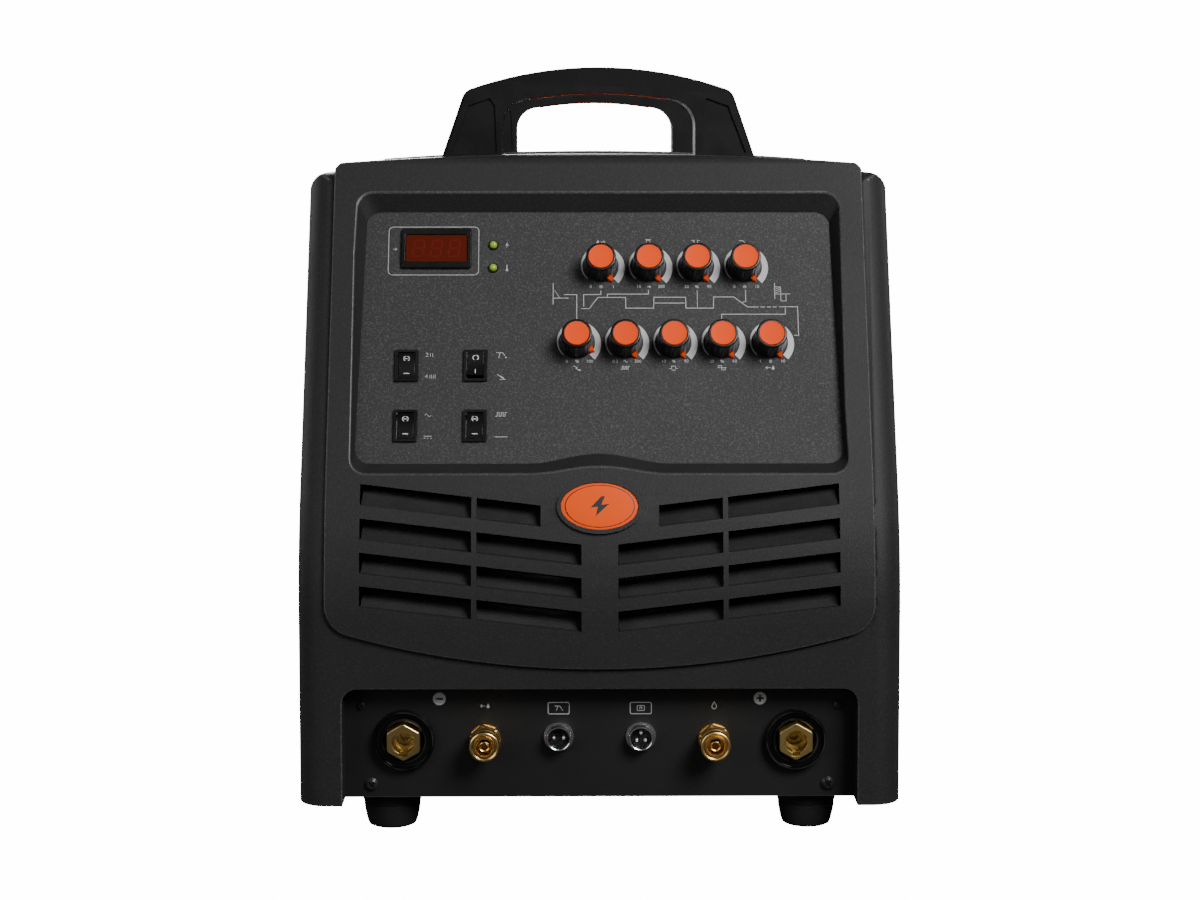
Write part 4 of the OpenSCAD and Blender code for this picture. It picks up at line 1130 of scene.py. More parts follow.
def glyph(kind: Glyph, line: float = 0.4) -> Shape:
    """A pictogram about 5 mm wide, centred on the origin.

    Args:
        kind: which one.
        line: its line width.

    Returns:
        The shape.
    """

    def draw(*points: tuple[float, float], closed: bool = False) -> Shape:
        """One line of the pictogram."""
        return stroke(points, line, closed=closed)

    if kind in LINE_SIGNS:
        return together(draw(*points) for points in LINE_SIGNS[kind])
    drop = np.concatenate([arc(1.0, -215, 35, 14, 0, -0.4), np.array([[0.0, 1.7]])])
    if kind is Glyph.GAS_IN:
        return moved(patch(drop), -1.8, 0) + draw((0, 0), (3, 0)) + draw((2, 0.9), (3.1, 0), (2, -0.9))
    if kind is Glyph.GAS_OUT:
        arrow = draw((-3, 0), (0, 0)) + draw((-2, 0.9), (-3.1, 0), (-2, -0.9))
        return arrow + moved(patch(drop), 1.8, 0)
    if kind is Glyph.CLOCK:
        return stroke(circle(1.0, 20), line * 0.8, closed=True) + draw((0, 0.75), (0, 0), (0.55, 0))
    if kind is Glyph.PERCENT:
        upper = stroke(circle(0.45, 12, -0.75, 0.55), line * 0.7, closed=True)
        lower = stroke(circle(0.45, 12, 0.75, -0.55), line * 0.7, closed=True)
        return upper + lower + draw((-0.7, -1.0), (0.7, 1.0))
    if kind is Glyph.WAVE:
        return stroke(sine(3.0, 0.8), line * 0.8)
    if kind is Glyph.DROP:
        return stroke(drop * 1.5, line, closed=True)
    if kind is Glyph.TWO_STEP:
        bars = [draw((x, -1.3), (x, 1.3)) for x in (0.6, 2.0)]
        return together([moved(digits("2", 4.0), -1.6, 0), *bars])
    if kind is Glyph.FOUR_STEP:
        bars = together(draw((0.3 + 1.1 * i, -1.3), (0.3 + 1.1 * i, 1.3)) for i in range(4))
        return moved(digits("4", 4.0), -2.0, 0) + bars
    if kind is Glyph.TORCH:
        body = draw((-2.6, 1.4), (0.6, 1.4), (1.8, -0.2)) + draw((-0.6, 1.4), (-1.4, -1.5))
        return body + patch(circle(0.45, 14, 2.3, -1.2))
    if kind is Glyph.ELECTRODE:
        rod = draw((-2.6, 1.7), (-0.8, 0.5)) + stroke([(-0.8, 0.5), (1.8, -1.2)], line * 2.2)
        return rod + draw((-1.0, -1.8), (2.8, -1.8))
    if kind is Glyph.BOLT:
        return patch(np.array([(0.5, 2.3), (-1.1, -0.3), (-0.1, -0.1), (-0.7, -2.3), (1.1, 0.5), (0.1, 0.3)]))
    if kind is Glyph.THERMOMETER:
        return stroke([(0, -1.0), (0, 2.2)], 0.7) + patch(circle(0.85, 18, 0, -1.5))
    body = stroke(rounded(4.6, 3.2, 0.5), line * 0.8, closed=True)
    return body + stroke(arc(0.8, -60, 240, 14), line * 0.8) + draw((0, 0.2), (0.5, 1.0))


@dataclass
class ControlFace:
    """Printed legends, display, lamps and rockers on the sloped panel."""

    slope_start: tuple[float, float] = (1.2, 146.3)
    line: float = 0.5
    scale_radius: float = 11.75
    scale_width: tuple[float, float] = (0.35, 4.2)
    rocker_radius: float = 24.3
    rocker_centre: float = 27.8

    def spot(self, x: float, s: float, h: float = 0.0) -> Place:
        """A place on the panel: x across, s up the slope, h out of its face."""
        x0, s0 = self.slope_start
        return joint_place("pregas_knob_turn", True).moved(x - x0, s - s0, h)

    def build(self) -> None:
        """Builds the panel's prints and parts."""
        self.build_diagram()
        self.build_labels()
        self.build_display()
        self.build_lamps()
        self.build_rockers()
        keep("control_board", BOARD)
        keep("potentiometers", POT)

    def build_diagram(self) -> None:
        """The welding cycle printed between the two rows of knobs, as mitred lines."""
        w = self.line
        lines: list[tuple[list[tuple[float, float]], float]] = [
            ([(-29.5, 134.9), (-29.5, 120.0)], w),
            ([(-28.6, 129.9), (-25.3, 124.6)], w * 0.7),
            ([(-29.5, 124.4), (-19.6, 124.4)], w),
            ([(-22.4, 126.8), (-14.3, 126.8), (-14.3, 108.5)], w),
            ([(1.3, 129.6), (1.3, 126.9), (-9.8, 126.9), (-9.8, 118.6)], w),
            ([(-11.3, 117.2), (-6.2, 117.2), (-0.6, 124.9), (17.3, 124.9), (17.4, 117.5), (35.4, 117.5),
              (35.5, 125.0), (56.0, 125.0), (56.2, 117.5), (74.0, 117.5), (74.1, 125.2), (87.1, 125.2),
              (95.9, 118.3), (103.0, 118.3)], w),
            ([(104.4, 118.3), (107.3, 118.3)], w),
            ([(108.4, 118.3), (111.0, 118.3)], w),
            ([(112.2, 118.3), (114.8, 118.3)], w),
            ([(116.2, 118.4), (128.3, 118.4), (128.4, 98.8), (125.4, 98.8)], w),
            ([(5.5, 125.1), (5.5, 127.2), (32.1, 127.2), (32.1, 129.9)], w),
            ([(36.2, 121.0), (55.3, 121.0)], w),
            ([(63.6, 129.9), (63.6, 118.0)], w * 0.7),
            ([(94.9, 129.8), (94.9, 122.0), (92.6, 121.6)], w),
            ([(120.3, 117.6), (120.3, 113.3), (79.1, 113.3), (79.1, 109.8)], w),
            ([(113.7, 134.8), (113.7, 123.9)], w),
            ([(114.0, 127.2), (123.9, 127.2)], w * 0.8),
            ([(117.6, 126.9), (117.6, 122.4), (121.0, 122.4), (121.0, 126.9)], w * 0.8),
            ([(114.0, 132.1), (117.6, 132.1), (117.6, 127.5)], w * 0.8),
        ]
        hatch = [([(114.2, 127.8 + 1.3 * i), (117.3, 129.3 + 1.3 * i)], w * 0.7) for i in range(3)]
        drawn = together(stroke(points, width) for points, width in lines + hatch)
        make_piece("cycle_diagram", drawn.at(self.spot(0, 0)), INK)

    def build_labels(self) -> None:
        """Pictograms and dial numbers about the knobs, rockers, lamps and display."""
        signs: list[Shape] = []

        def add(kind: Glyph, x: float, s: float, scale: float = 1.0) -> None:
            """Puts a pictogram on the panel."""
            drawn = glyph(kind, 0.4 / scale)
            size = np.array([scale, scale, 1.0])
            signs.append(moved(Shape(drawn.points * size, drawn.faces, drawn.slots), x, s))

        for name, sign, unit, low, high in DIALS:
            x, s = self.knob_spot(name)
            rise = 17.0 if s > 120 else -17.2
            add(sign, x, s + rise, 0.95)
            add(unit, x + 0.2, s - 14.0 if s > 120 else s - 12.8, 0.85)
            drop = 14.0 if s > 120 else 12.8
            signs.append(moved(digits(low, 3.0), x - 6.4, s - drop))
            signs.append(moved(digits(high, 3.0), x + 8.2, s - drop))
        for kind, x, s in (
            (Glyph.TWO_STEP, -108.6, 85.6), (Glyph.FOUR_STEP, -108.4, 71.0),
            (Glyph.TORCH, -62.6, 85.4), (Glyph.ELECTRODE, -62.6, 70.8),
            (Glyph.WAVE, -109.0, 45.0), (Glyph.STEADY, -108.8, 30.4),
            (Glyph.PULSES, -62.4, 45.6),
            (Glyph.BOLT, -59.5, 161.3), (Glyph.THERMOMETER, -59.5, 145.4),
            (Glyph.ARROW, -132.4, 158.4),
        ):
            add(kind, x, s, 1.25 if kind in (Glyph.WAVE, Glyph.PULSES, Glyph.TORCH) else 1.0)
        signs.append(stroke([(-66.4, 30.6), (-58.2, 30.6)], 0.5))
        border = rounded(58.5, 33.4, 3.0, -107.15, 157.2)
        signs.append(stroke(border, 0.45, closed=True))
        make_piece("panel_signs", together(signs).at(self.spot(0, 0)), INK)
        crescents = [self.crescent(*self.knob_spot(name)) for name, *_ in DIALS]
        make_piece("dial_crescents", together(crescents).at(self.spot(0, 0)), SILVER)

    def knob_spot(self, name: str) -> tuple[float, float]:
        """A knob's place on the panel, from its joint.

        Args:
            name: of the knob.

        Returns:
            Its x across and its distance up the slope.
        """
        anchor = np.array(JOINTS[f"{name}_knob_turn"]["pos_m"]) * 1000
        first = np.array(JOINTS["pregas_knob_turn"]["pos_m"]) * 1000
        step = anchor - first
        up = float(np.sign(step[2]) * np.hypot(*step[1:]))
        return self.slope_start[0] + float(step[0]), self.slope_start[1] + up

    def crescent(self, x: float, s: float) -> Shape:
        """A scale that widens clockwise: inner radius constant, width growing evenly with the angle.

        Args:
            x: the knob's place across.
            s: its place up the slope.

        Returns:
            The shape.
        """
        share = np.linspace(0, 1, 61)
        a = np.radians(225 - 270 * share)
        thin, thick = self.scale_width
        inner = self.scale_radius
        outer = inner + thin + thick * share
        ins = np.column_stack([x + inner * np.cos(a), s + inner * np.sin(a)])
        out = np.column_stack([x + outer * np.cos(a), s + outer * np.sin(a)])
        corners = ((ins, -PRINT_SINK), (ins, PRINT_RISE), (out, PRINT_RISE), (out, -PRINT_SINK))
        rows = [ring_at(line, height) for line, height in corners]
        return grid(np.stack(rows, 1), wrap_v=True, cap_u=True)

    def build_display(self) -> None:
        """The display's frame, its dark window and three seven-segment numerals."""
        refined("display_bezel", SWITCH, bevel=0.6)
        refined("display_window", DISPLAY, bevel=0.15)
        low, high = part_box("display_window")
        place = self.spot(500 * (low.x + high.x), 158.4, 1.6)
        lit = together(moved(self.numeral(), x, 0.0) for x in (-11.6, 0.0, 11.6))
        dots = together(patch(circle(0.55, 14, x, -5.4), 0.05) for x in (-6.0, 5.6))
        make_piece("display_numerals", (lit + dots).at(place), SEGMENT)

    @staticmethod
    def numeral(width: float = 6.4, height: float = 11.2, thick: float = 1.15) -> Shape:
        """Seven pointed bars leaning 8 degrees: x' = x + y tan 8.

        Args:
            width: between the middles of the upright bars.
            height: between the middles of the outer level bars.
            thick: of a bar.

        Returns:
            The shape.
        """

        def bar(x0: float, y0: float, x1: float, y1: float) -> Shape:
            """One bar with pointed ends."""
            along = np.array([x1 - x0, y1 - y0])
            along = along / np.linalg.norm(along)
            side = np.array([-along[1], along[0]]) * thick / 2
            a, b = np.array([x0, y0]) + along * 0.25, np.array([x1, y1]) - along * 0.25
            tip = along * thick / 2
            return patch(np.array([a, a + tip - side, b - tip - side, b, b - tip + side, a + tip + side]), 0.05)

        w, h = width / 2, height / 2
        level = [(-w, h, w, h), (-w, 0, w, 0), (-w, -h, w, -h)]
        ends = level + [(-w, 0, -w, h), (w, 0, w, h), (-w, -h, -w, 0), (w, -h, w, 0)]
        digit = together(bar(*e) for e in ends)
        lean = digit.points.copy()
        lean[:, 0] += lean[:, 1] * math.tan(math.radians(8))
        return Shape(lean, digit.faces, digit.slots)

    def build_lamps(self) -> None:
        """Two domed lamps, each in a dark collar."""
        r, base, rise = 2.5, 1.1, 2.1
        curve = [(r * math.cos(a), base + rise * math.sin(a)) for a in np.radians([15, 30, 45, 60, 75])]
        dome = [(0.0, -6.0), (r, -6.0), (r, base), *curve, (0.0, 3.2)]
        collar = [(2.55, 0.0), (3.4, 0.0), (3.4, 0.5), (3.1, 0.8), (2.55, 0.8), (2.55, 0.0)]
        spots = [self.spot(-68.4, 161.0), self.spot(-68.4, 145.2)]
        domes, collars = (together(lathe(turned, 40).at(p) for p in spots) for turned in (dome, collar))
        make_piece("lamp_domes", domes, LAMP, instead_of=["indicator_lamps"])
        make_piece("lamp_collars", collars, SWITCH)

    def build_rockers(self) -> None:
        """Frames and rockers, with a mark at each end of a hollow face: z = c - sqrt(r^2 - y^2)."""
        refined("rocker_frames", SWITCH, bevel=0.25)
        for name, tip in (("trigger", 8), ("process", -8), ("current", 8), ("pulse", 8)):
            skin = refined(f"rocker_{name}", SWITCH, bevel=0.3, segments=3)
            body = body_with(f"rocker_{name}")
            place = joint_place(f"{name}_rocker_tip", True).tipped(tip)
            marks = []
            for y, mark in ((4.6, self.ring_mark(name)), (-5.0, self.bar_mark(name))):
                lift = self.rocker_centre - math.sqrt(self.rocker_radius**2 - y**2)
                spot = place.moved(0, y, lift).tipped(math.degrees(math.asin(y / self.rocker_radius)))
                marks.append(mark.at(spot))
            make_piece(f"{name}_marks", together(marks), MARK, body)
            LOG.info("%s tips %d degrees", skin.name, tip)

    @staticmethod
    def ring_mark(name: str) -> Shape:
        """A ring, with a bar across it except on the process rocker."""
        ring = stroke(circle(1.75, 28), 0.5, closed=True)
        return ring if name == "process" else ring + stroke([(-1.0, 0), (1.0, 0)], 0.5)

    @staticmethod
    def bar_mark(name: str) -> Shape:
        """A bar, upright on the process rocker."""
        return stroke([(0, -1.7), (0, 1.7)], 0.6) if name == "process" else stroke([(-1.8, 0), (1.8, 0)], 0.6)


# Knob, its pictogram, its unit and the numbers at the two ends of its scale
DIALS: tuple[tuple[str, Glyph, Glyph, str, str], ...] = (
    ("pregas", Glyph.GAS_IN, Glyph.CLOCK, "0", "1"),
    ("peak", Glyph.PEAK, Glyph.ARROW, "10", "300"),
    ("base", Glyph.BASE, Glyph.PERCENT, "20", "90"),
    ("slope", Glyph.SLOPE, Glyph.CLOCK, "0", "10"),
    ("force", Glyph.FORCE, Glyph.PERCENT, "0", "100"),
    ("frequency", Glyph.PULSES, Glyph.WAVE, "0.2", "300"),
    ("width", Glyph.WIDTH, Glyph.PERCENT, "10", "90"),
    ("balance", Glyph.BALANCE, Glyph.PERCENT, "20", "60"),
    ("postgas", Glyph.GAS_OUT, Glyph.CLOCK, "1", "10"),
)


# ---- knobs ------------------------------------------------------------------


@dataclass
class Knobs:
    """Nine turning knobs: a fluted body, a dished cap and a pointer wedge."""

    height: float = 17.9
    skirt: float = 10.9
    waist: float = 10.3
    top: float = 9.7
    cap_radius: float = 8.0
    flutes: int = 18

    def build(self) -> None:
        """Builds each knob on its own body, turned to its rest angle."""
        for name, *_ in DIALS:
            rest = -30.0 if name == "force" else -55.0
            place = joint_place(f"{name}_knob_turn", True).turned(rest)
            body = body_with(f"knob_{name}")
            make_piece(f"{name}_knob_body", self.body().at(place), KNOB, body, [f"knob_{name}"], smooth=40)
            cap = self.cap() + self.pointer()
            make_piece(f"{name}_knob_cap", cap.at(place), ORANGE, body, [f"cap_{name}"], smooth=40)

    def body(self) -> Shape:
        """A turned profile whose waist is cut by shallow flutes: r - depth (0.5 + 0.5 cos nt)^3.

        Returns:
            The shape.
        """
        h = self.height
        profile = [
            (0.0, -6.0), (3.0, -6.0), (3.0, 0.5), (self.skirt - 0.3, 0.5), (self.skirt, 0.8), (self.skirt, 1.6),
            (self.skirt - 0.2, 2.0), (self.waist + 0.25, 2.3), (self.waist + 0.1, 2.8), (self.waist, 4.2),
            (0.5 * (self.waist + self.top), 0.55 * h), (self.top + 0.15, h - 1.9), (self.top + 0.1, h - 1.3),
            (self.top + 0.05, h - 0.75), (self.top - 0.12, h - 0.3), (self.top - 0.45, h - 0.05),
            (self.top - 0.75, h), (self.cap_radius + 0.12, h - 0.05), (self.cap_radius + 0.05, h - 0.4),
            (self.cap_radius + 0.05, h - 1.5), (0.0, h - 1.5),
        ]

        def flute(t: np.ndarray, z: np.ndarray) -> np.ndarray:
            """Grooves that fade out at both ends of the waist."""
            fade = np.clip((z - 3.0) / 1.0, 0, 1) * np.clip((h - 1.5 - z) / 0.8, 0, 1)
            return -0.42 * fade * (0.5 + 0.5 * np.cos(self.flutes * t)) ** 3

        return lathe(profile, 216, ripple=flute)

    def cap(self) -> Shape:
        """A disc with a rounded rim and a shallow dish: z = rim - 0.35 (1 - (r / R)^4)."""
        h, r = self.height, self.cap_radius
        dish = [(r * k, h + 0.62 - 0.35 * (1 - k**4)) for k in (0.93, 0.88, 0.8, 0.65, 0.45, 0.2, 0.0)]
        rim = [(0.0, h - 1.4), (r, h - 1.4), (r, h + 0.2), (r - 0.06, h + 0.42), (r - 0.22, h + 0.58)]
        return lathe(rim + dish, 96)

    def pointer(self) -> Shape:
        """A wedge from the skirt outward, its ridge falling to the tip."""
        a, b = self.waist - 0.9, 13.5
        low = np.array([
            (a, -3.0, 0.35), (b - 1.9, -1.35, 0.35), (b, 0.0, 0.35), (b - 1.9, 1.35, 0.35), (a, 3.0, 0.35),
        ])
        high = np.array([
            (a, -2.6, 5.6), (b - 2.1, -1.1, 2.6), (b - 0.2, 0.0, 1.0), (b - 2.1, 1.1, 2.6), (a, 2.6, 5.6),
        ])
        return stacked([low, high])


# ---- socket bay -------------------------------------------------------------


@dataclass
class SocketBay:
    """Welding sockets, gas and water outlets, control connectors and their signs."""

    flange: float = 19.6
    across: float = 21.0
    bore: float = 6.9
    notch: float = 8.9

    def build(self) -> None:
        """Builds the bay's parts and prints."""
        sockets = [mount_place("minus_output"), mount_place("plus_output")]
        make_piece("socket_flanges", together(self.insulator().at(p) for p in sockets), INSULATOR,
                   instead_of=["socket_insulators"])
        make_piece("socket_brass", together(self.socket().at(p) for p in sockets),
                   [BRASS_DULL, BRASS_DARK, BRASS], instead_of=["output_sockets"], smooth=30)
        outlets = [self.panel_spot("gas_outlet"), self.panel_spot("water_outlet")]
        make_piece("outlet_brass", together(self.outlet().at(p) for p in outlets), [BRASS, BRASS_DARK],
                   instead_of=["outlet_bodies"], smooth=30)
        for name, spot in zip(("gas", "water"), outlets):
            make_piece(f"{name}_release", self.sleeve().at(spot), BRASS, body_with(f"{name}_sleeve"),
                       [f"{name}_sleeve"], smooth=30)
        plugs = [self.panel_spot("torch_control"), self.panel_spot("remote_control")]
        make_piece("connector_chrome", together(self.shell().at(p) for p in plugs), CHROME,
                   instead_of=["connector_shells"], smooth=30)
        self.build_inserts(plugs)
        self.build_signs()

    @staticmethod
    def panel_spot(mount: str) -> Place:
        """A mount's axis where it meets the socket panel's face."""
        x, _, z = (1000 * v for v in MOUNTS[mount]["pos_m"])
        return facing_front(x, 1000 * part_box("socket_panel")[0].y, z)

    def insulator(self) -> Shape:
        """Flange with a raised rim and two steps down to a round mouth.

        Returns:
            The shape.
        """
        r = self.flange
        profile = [
            (12.3, -20.0), (15.0, -20.0), (15.0, -0.2), (r, -0.2), (r, 2.6), (r - 0.15, 4.2), (r - 0.6, 5.4),
            (r - 1.0, 5.9), (r - 1.4, 5.95), (r - 1.8, 5.6), (r - 2.1, 4.9), (r - 2.3, 3.1), (r - 4.9, 2.9),
            (r - 5.1, 4.6), (r - 5.5, 5.0), (r - 6.1, 5.0), (r - 6.6, 4.6), (r - 6.9, 3.4), (12.3, 3.2),
            (12.3, -20.0),
        ]
        return lathe(profile, 120)

    def socket(self) -> Shape:
        """A hexagon standing on a corner, its bore keyed: r = bore, or notch near six o'clock.

        Returns:
            The shape, with slots for the hexagon, the bore and its lip.
        """
        steps = 144
        t = np.linspace(0, 2 * math.pi, steps, endpoint=False)
        away = np.abs(np.angle(np.exp(1j * (t + math.pi / 2))))
        notch = np.where(away < 0.31, self.notch, self.bore)
        round_bore = np.column_stack([self.bore * np.cos(t), self.bore * np.sin(t)])
        keyed = np.column_stack([notch * np.cos(t), notch * np.sin(t)])

        def scaled(outline: np.ndarray, by: float) -> np.ndarray:
            """The outline grown by a distance along its radius."""
            r = np.linalg.norm(outline, axis=1, keepdims=True)
            return outline * (r + by) / r

        hexes = hexagon(self.across, 11.9, 0, steps)
        face = hexagon(self.across - 0.9, 11.2, 0, steps)
        heights = [
            (circle(0.02, steps), -13.2), (circle(3.2, steps), -13.2), (circle(3.3, steps), -9.6),
            (circle(5.2, steps), -9.4), (circle(5.3, steps), -4.0), (round_bore, -3.8), (keyed, -3.7), (keyed, 8.3),
            (scaled(keyed, 0.2), 8.8), (scaled(keyed, 0.45), 9.0), (scaled(keyed, 0.6), 9.0), (face, 9.0),
            (scaled(face, 0.3), 8.8), (hexes, 7.9), (hexes, 2.0), (hexes, -14.5), (circle(0.02, steps), -14.5),
        ]
        rings = [ring_at(outline, height) for outline, height in heights]
        return stacked(rings, slots=[1] * 8 + [2] * 2 + [0] * 6)

    @staticmethod
    def outlet() -> Shape:
        """A hexagonal foot, a stepped neck and an inner nozzle with a dark gap round it.

        Returns:
            The shape, with slot 1 for the gap.
        """
        foot = stacked([
            ring_at(hexagon(17.6, 9.9, 12), 1.0), ring_at(hexagon(18.0, 10.2, 12), 1.5),
            ring_at(hexagon(18.0, 10.2, 12), 5.4), ring_at(hexagon(17.2, 9.2, 12), 6.1),
            ring_at(circle(7.1, 96), 6.15),
        ])
        washer = lathe([(0.0, 0.0), (9.9, 0.0), (10.0, 0.3), (10.0, 0.9), (9.8, 1.2), (0.0, 1.2)], 72)
        neck = lathe([
            (3.0, 0.5), (7.2, 0.5), (7.2, 20.6), (7.0, 21.4), (6.6, 21.9), (6.1, 22.0), (5.5, 21.9), (5.2, 21.5),
            (5.05, 20.9), (5.05, 9.0), (3.0, 9.0), (3.0, 0.5),
        ], 96, slots=[0] * 8 + [1] * 3)
        nozzle = lathe([
            (2.3, 6.0), (3.4, 6.0), (3.4, 18.6), (3.2, 19.2), (2.8, 19.4), (2.45, 19.2), (2.3, 18.7), (2.3, 6.0),
        ], 72, slots=[1, 0, 0, 0, 0, 0, 1])
        floor = lathe([(0.0, 4.0), (2.6, 4.0), (2.6, 6.4), (0.0, 6.4)], 48).painted(1)
        return foot + washer + neck + nozzle + floor

    @staticmethod
    def sleeve() -> Shape:
        """A turned ring with a waist between its two rims.

        Returns:
            The shape.
        """
        profile = [
            (7.26, 9.6), (9.2, 9.6), (9.5, 9.9), (9.55, 11.5), (9.5, 13.2), (9.15, 13.6), (8.5, 13.8), (8.4, 15.3),
            (9.1, 15.5), (9.5, 15.9), (9.55, 18.0), (9.5, 20.4), (9.3, 20.9), (8.9, 21.2), (8.3, 21.3), (7.8, 21.1),
            (7.4, 20.9), (7.26, 20.6), (7.26, 9.6),
        ]
        return lathe(profile, 120)

    @staticmethod
    def shell() -> Shape:
        """A collar with a round flange, a threaded barrel and a rounded lip."""
        threads = [(8.0 - 0.22 * (i % 2), 2.6 + 0.42 * i) for i in range(12)]
        profile = [(6.7, -13.0), (7.9, -13.0), (7.9, 0.0), (9.4, 0.0), (9.6, 0.3), (9.6, 1.9), (9.3, 2.3), (8.1, 2.5)]
        profile += threads + [(7.9, 7.9), (7.6, 8.3), (7.2, 8.4), (6.85, 8.2), (6.7, 7.8), (6.7, -13.0)]
        return lathe(profile, 96)

    @staticmethod
    def build_inserts(plugs: Sequence[Place]) -> None:
        """The dark insert of each connector, with two pins on the left and three on the right.

        Args:
            plugs: the places of the two connectors.
        """
        disc = lathe([(0.0, -12.0), (6.7, -12.0), (6.7, 1.4), (6.4, 1.8), (0.0, 1.8)], 72)
        key = stacked([ring_at(rounded(2.0, 1.5, 0.3, 0, 5.9), z) for z in (1.0, 6.8)])
        make_piece("connector_cores", together((disc + key).at(p) for p in plugs), INSULATOR,
                   instead_of=["connector_inserts"], smooth=30)
        pin = lathe([(0.0, 1.2), (1.0, 1.2), (1.0, 5.4), (0.8, 5.9), (0.4, 6.15), (0.0, 6.2)], 24)
        pins = []
        for place, angles in zip(plugs, ((0, 180), (90, 210, 330))):
            for a in np.radians(angles):
                pins.append(moved(pin, 3.1 * math.cos(a), 3.1 * math.sin(a)).at(place))
        make_piece("connector_pins", together(pins), PIN)

    @staticmethod
    def build_signs() -> None:
        """Polarity discs, framed pictograms and outlet signs printed on the panel."""
        place = facing_front(0.0, 1000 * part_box("socket_panel")[0].y, 0.0)
        discs = [patch(circle(4.1, 40, s * 101.5, 88.2), 0.08) for s in (-1, 1)]
        make_piece("polarity_discs", together(discs).at(place), GREY_INK)
        minus = stroke([(-103.7, 88.2), (-99.3, 88.2)], 1.1, 0.14)
        level = stroke([(99.3, 88.2), (103.7, 88.2)], 1.1, 0.14)
        upright = stroke([(101.5, 86.0), (101.5, 90.4)], 1.1, 0.15)
        make_piece("polarity_signs", (minus + (level + upright)).at(place), SHEET)
        signs = []
        for s, kind in ((-1, Glyph.TORCH), (1, Glyph.REMOTE)):
            signs.append(stroke(rounded(13.4, 7.4, 1.0, s * 26, 82), 0.5, closed=True))
            signs.append(moved(glyph(kind, 0.5), s * 26, 82))
        for s, kind in ((-1, Glyph.GAS_OUT), (1, Glyph.DROP)):
            signs.append(moved(glyph(kind, 0.45), s * 72.5, 83.5))
        make_piece("bay_signs", together(signs).at(place), GREY_INK)


# ---- handles and feet -------------------------------------------------------


@dataclass
class Handles:
    """Two carrying handles with inlaid grip strips, and four rubber feet."""

    grip_sink: float = 1.0

    def build(self) -> None:
        """Builds handles, grips and feet; each grip strip sits a little way up in its handle."""
        refined("handle_front", HANDLE, bevel=1.3, segments=3)
        refined("handle_rear", HANDLE, bevel=1.3, segments=3)
        grips = refined("handle_grips", ORANGE, bevel=0.3)
        grips.data.transform(Matrix.Translation((0.0, 0.0, self.grip_sink * MM)))
        self.build_feet()

    @staticmethod
    def build_feet() -> None:
        """Feet turned from a profile with a rounded tread and a shoulder groove."""
        low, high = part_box("feet")
        inset = 20.0
        profile = [
            (0.0, 12.0), (6.8, 12.0), (7.0, 1.2), (7.6, 0.3), (8.4, 0.0), (14.2, 0.0), (15.2, 0.5), (15.8, 1.6),
            (16.3, 3.2), (17.0, 6.0), (17.7, 9.4), (18.1, 12.0), (18.2, 14.2), (17.9, 14.6), (17.9, 15.2),
            (18.5, 15.6), (19.0, 18.0), (19.5, 20.5), (19.9, 23.2), (19.6, 23.9), (0.0, 23.9),
        ]
        xs = (1000 * low.x + inset, 1000 * high.x - inset)
        ys = (1000 * low.y + inset, 1000 * high.y - inset)
        feet = together(lathe(profile, 72).at(Place((x, y, 0.0))) for x in xs for y in ys)
        make_piece("rubber_feet", feet, RUBBER, instead_of=["feet"])


# ---- rear and inside --------------------------------------------------------


@dataclass
class Rear:
    """Fan, guard, mains switch, cable gland and gas inlet."""

    blades: int = 8
    hub: float = 26.0
    tip: float = 68.5

    def build(self) -> None:
        """Builds the rear parts."""
        refined("fan_frame", FAN, bevel=0.5)
        self.build_impeller()
        refined("fan_guard", WIRE, bevel=0.0, smooth=60)
        refined("power_switch", SWITCH, bevel=0.4)
        refined("switch_lever", LEVER, bevel=0.5)
        refined("cable_gland", SWITCH, bevel=0.4)
        refined("gas_inlet", BRASS, bevel=0.25)

    def build_impeller(self) -> None:
        """A hub and twisted blades: at radius r the chord is pitched atan(k / r), so it flattens to the tip."""
        x, _, z = (1000 * v for v in JOINTS["fan_spin"]["pos_m"])
        low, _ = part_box("fan_impeller")
        place = facing_rear(x, 1000 * low.y, z)
        hub = lathe([
            (0.0, 0.0), (2.5, 0.0), (2.5, 6.9), (24.8, 7.0), (26.0, 8.0), (26.0, 30.4), (25.4, 31.5), (24.2, 32.0),
            (14.0, 32.0), (13.0, 31.0), (0.0, 31.0),
        ], 96)
        r = np.linspace(self.hub - 1.0, self.tip, 14)
        u = np.linspace(-1, 1, 12)
        rr, uu = np.meshgrid(r, u, indexing="ij")
        pitch = np.arctan(30.0 / rr)
        chord = 14.5 + 4.0 * (rr - self.hub) / (self.tip - self.hub)
        bow = 1.6 * (1 - uu**2)
        around = chord * uu * np.cos(pitch) - bow * np.sin(pitch)
        up = chord * 0.75 * uu * np.sin(pitch) + bow * np.cos(pitch)
        sweep = 6.0 * ((rr - self.hub) / (self.tip - self.hub)) ** 2
        angle = (around + sweep) / rr
        blade = []
        for lift in (0.75, -0.75):
            zz = 19.5 + up + lift * (1 - 0.5 * np.abs(uu))
            blade.append(np.stack([rr * np.cos(angle), rr * np.sin(angle), np.clip(zz, 7.5, 31.5)], -1))
        skin = np.concatenate([blade[0], blade[1][:, ::-1]], axis=1)
        one = grid(skin, wrap_v=True, cap_u=True)
        shapes = [hub.at(place)] + [one.at(place.turned(360 * i / self.blades)) for i in range(self.blades)]
        make_piece("fan_wheel", together(shapes), FAN, body_with("fan_impeller"), ["fan_impeller"], smooth=50)


@dataclass
class Inside:
    """Parts seen through the grille and the fan: they keep their CAD shape."""

    def build(self) -> None:
        """Dresses the inner nodes."""
        keep("heatsinks", ALUMINIUM)
        keep("transformer", CORE)
        keep("power_board", BOARD)
        keep("arc_starter", WINDING)
        keep("gas_valve", POT)


# ---- studio -----------------------------------------------------------------


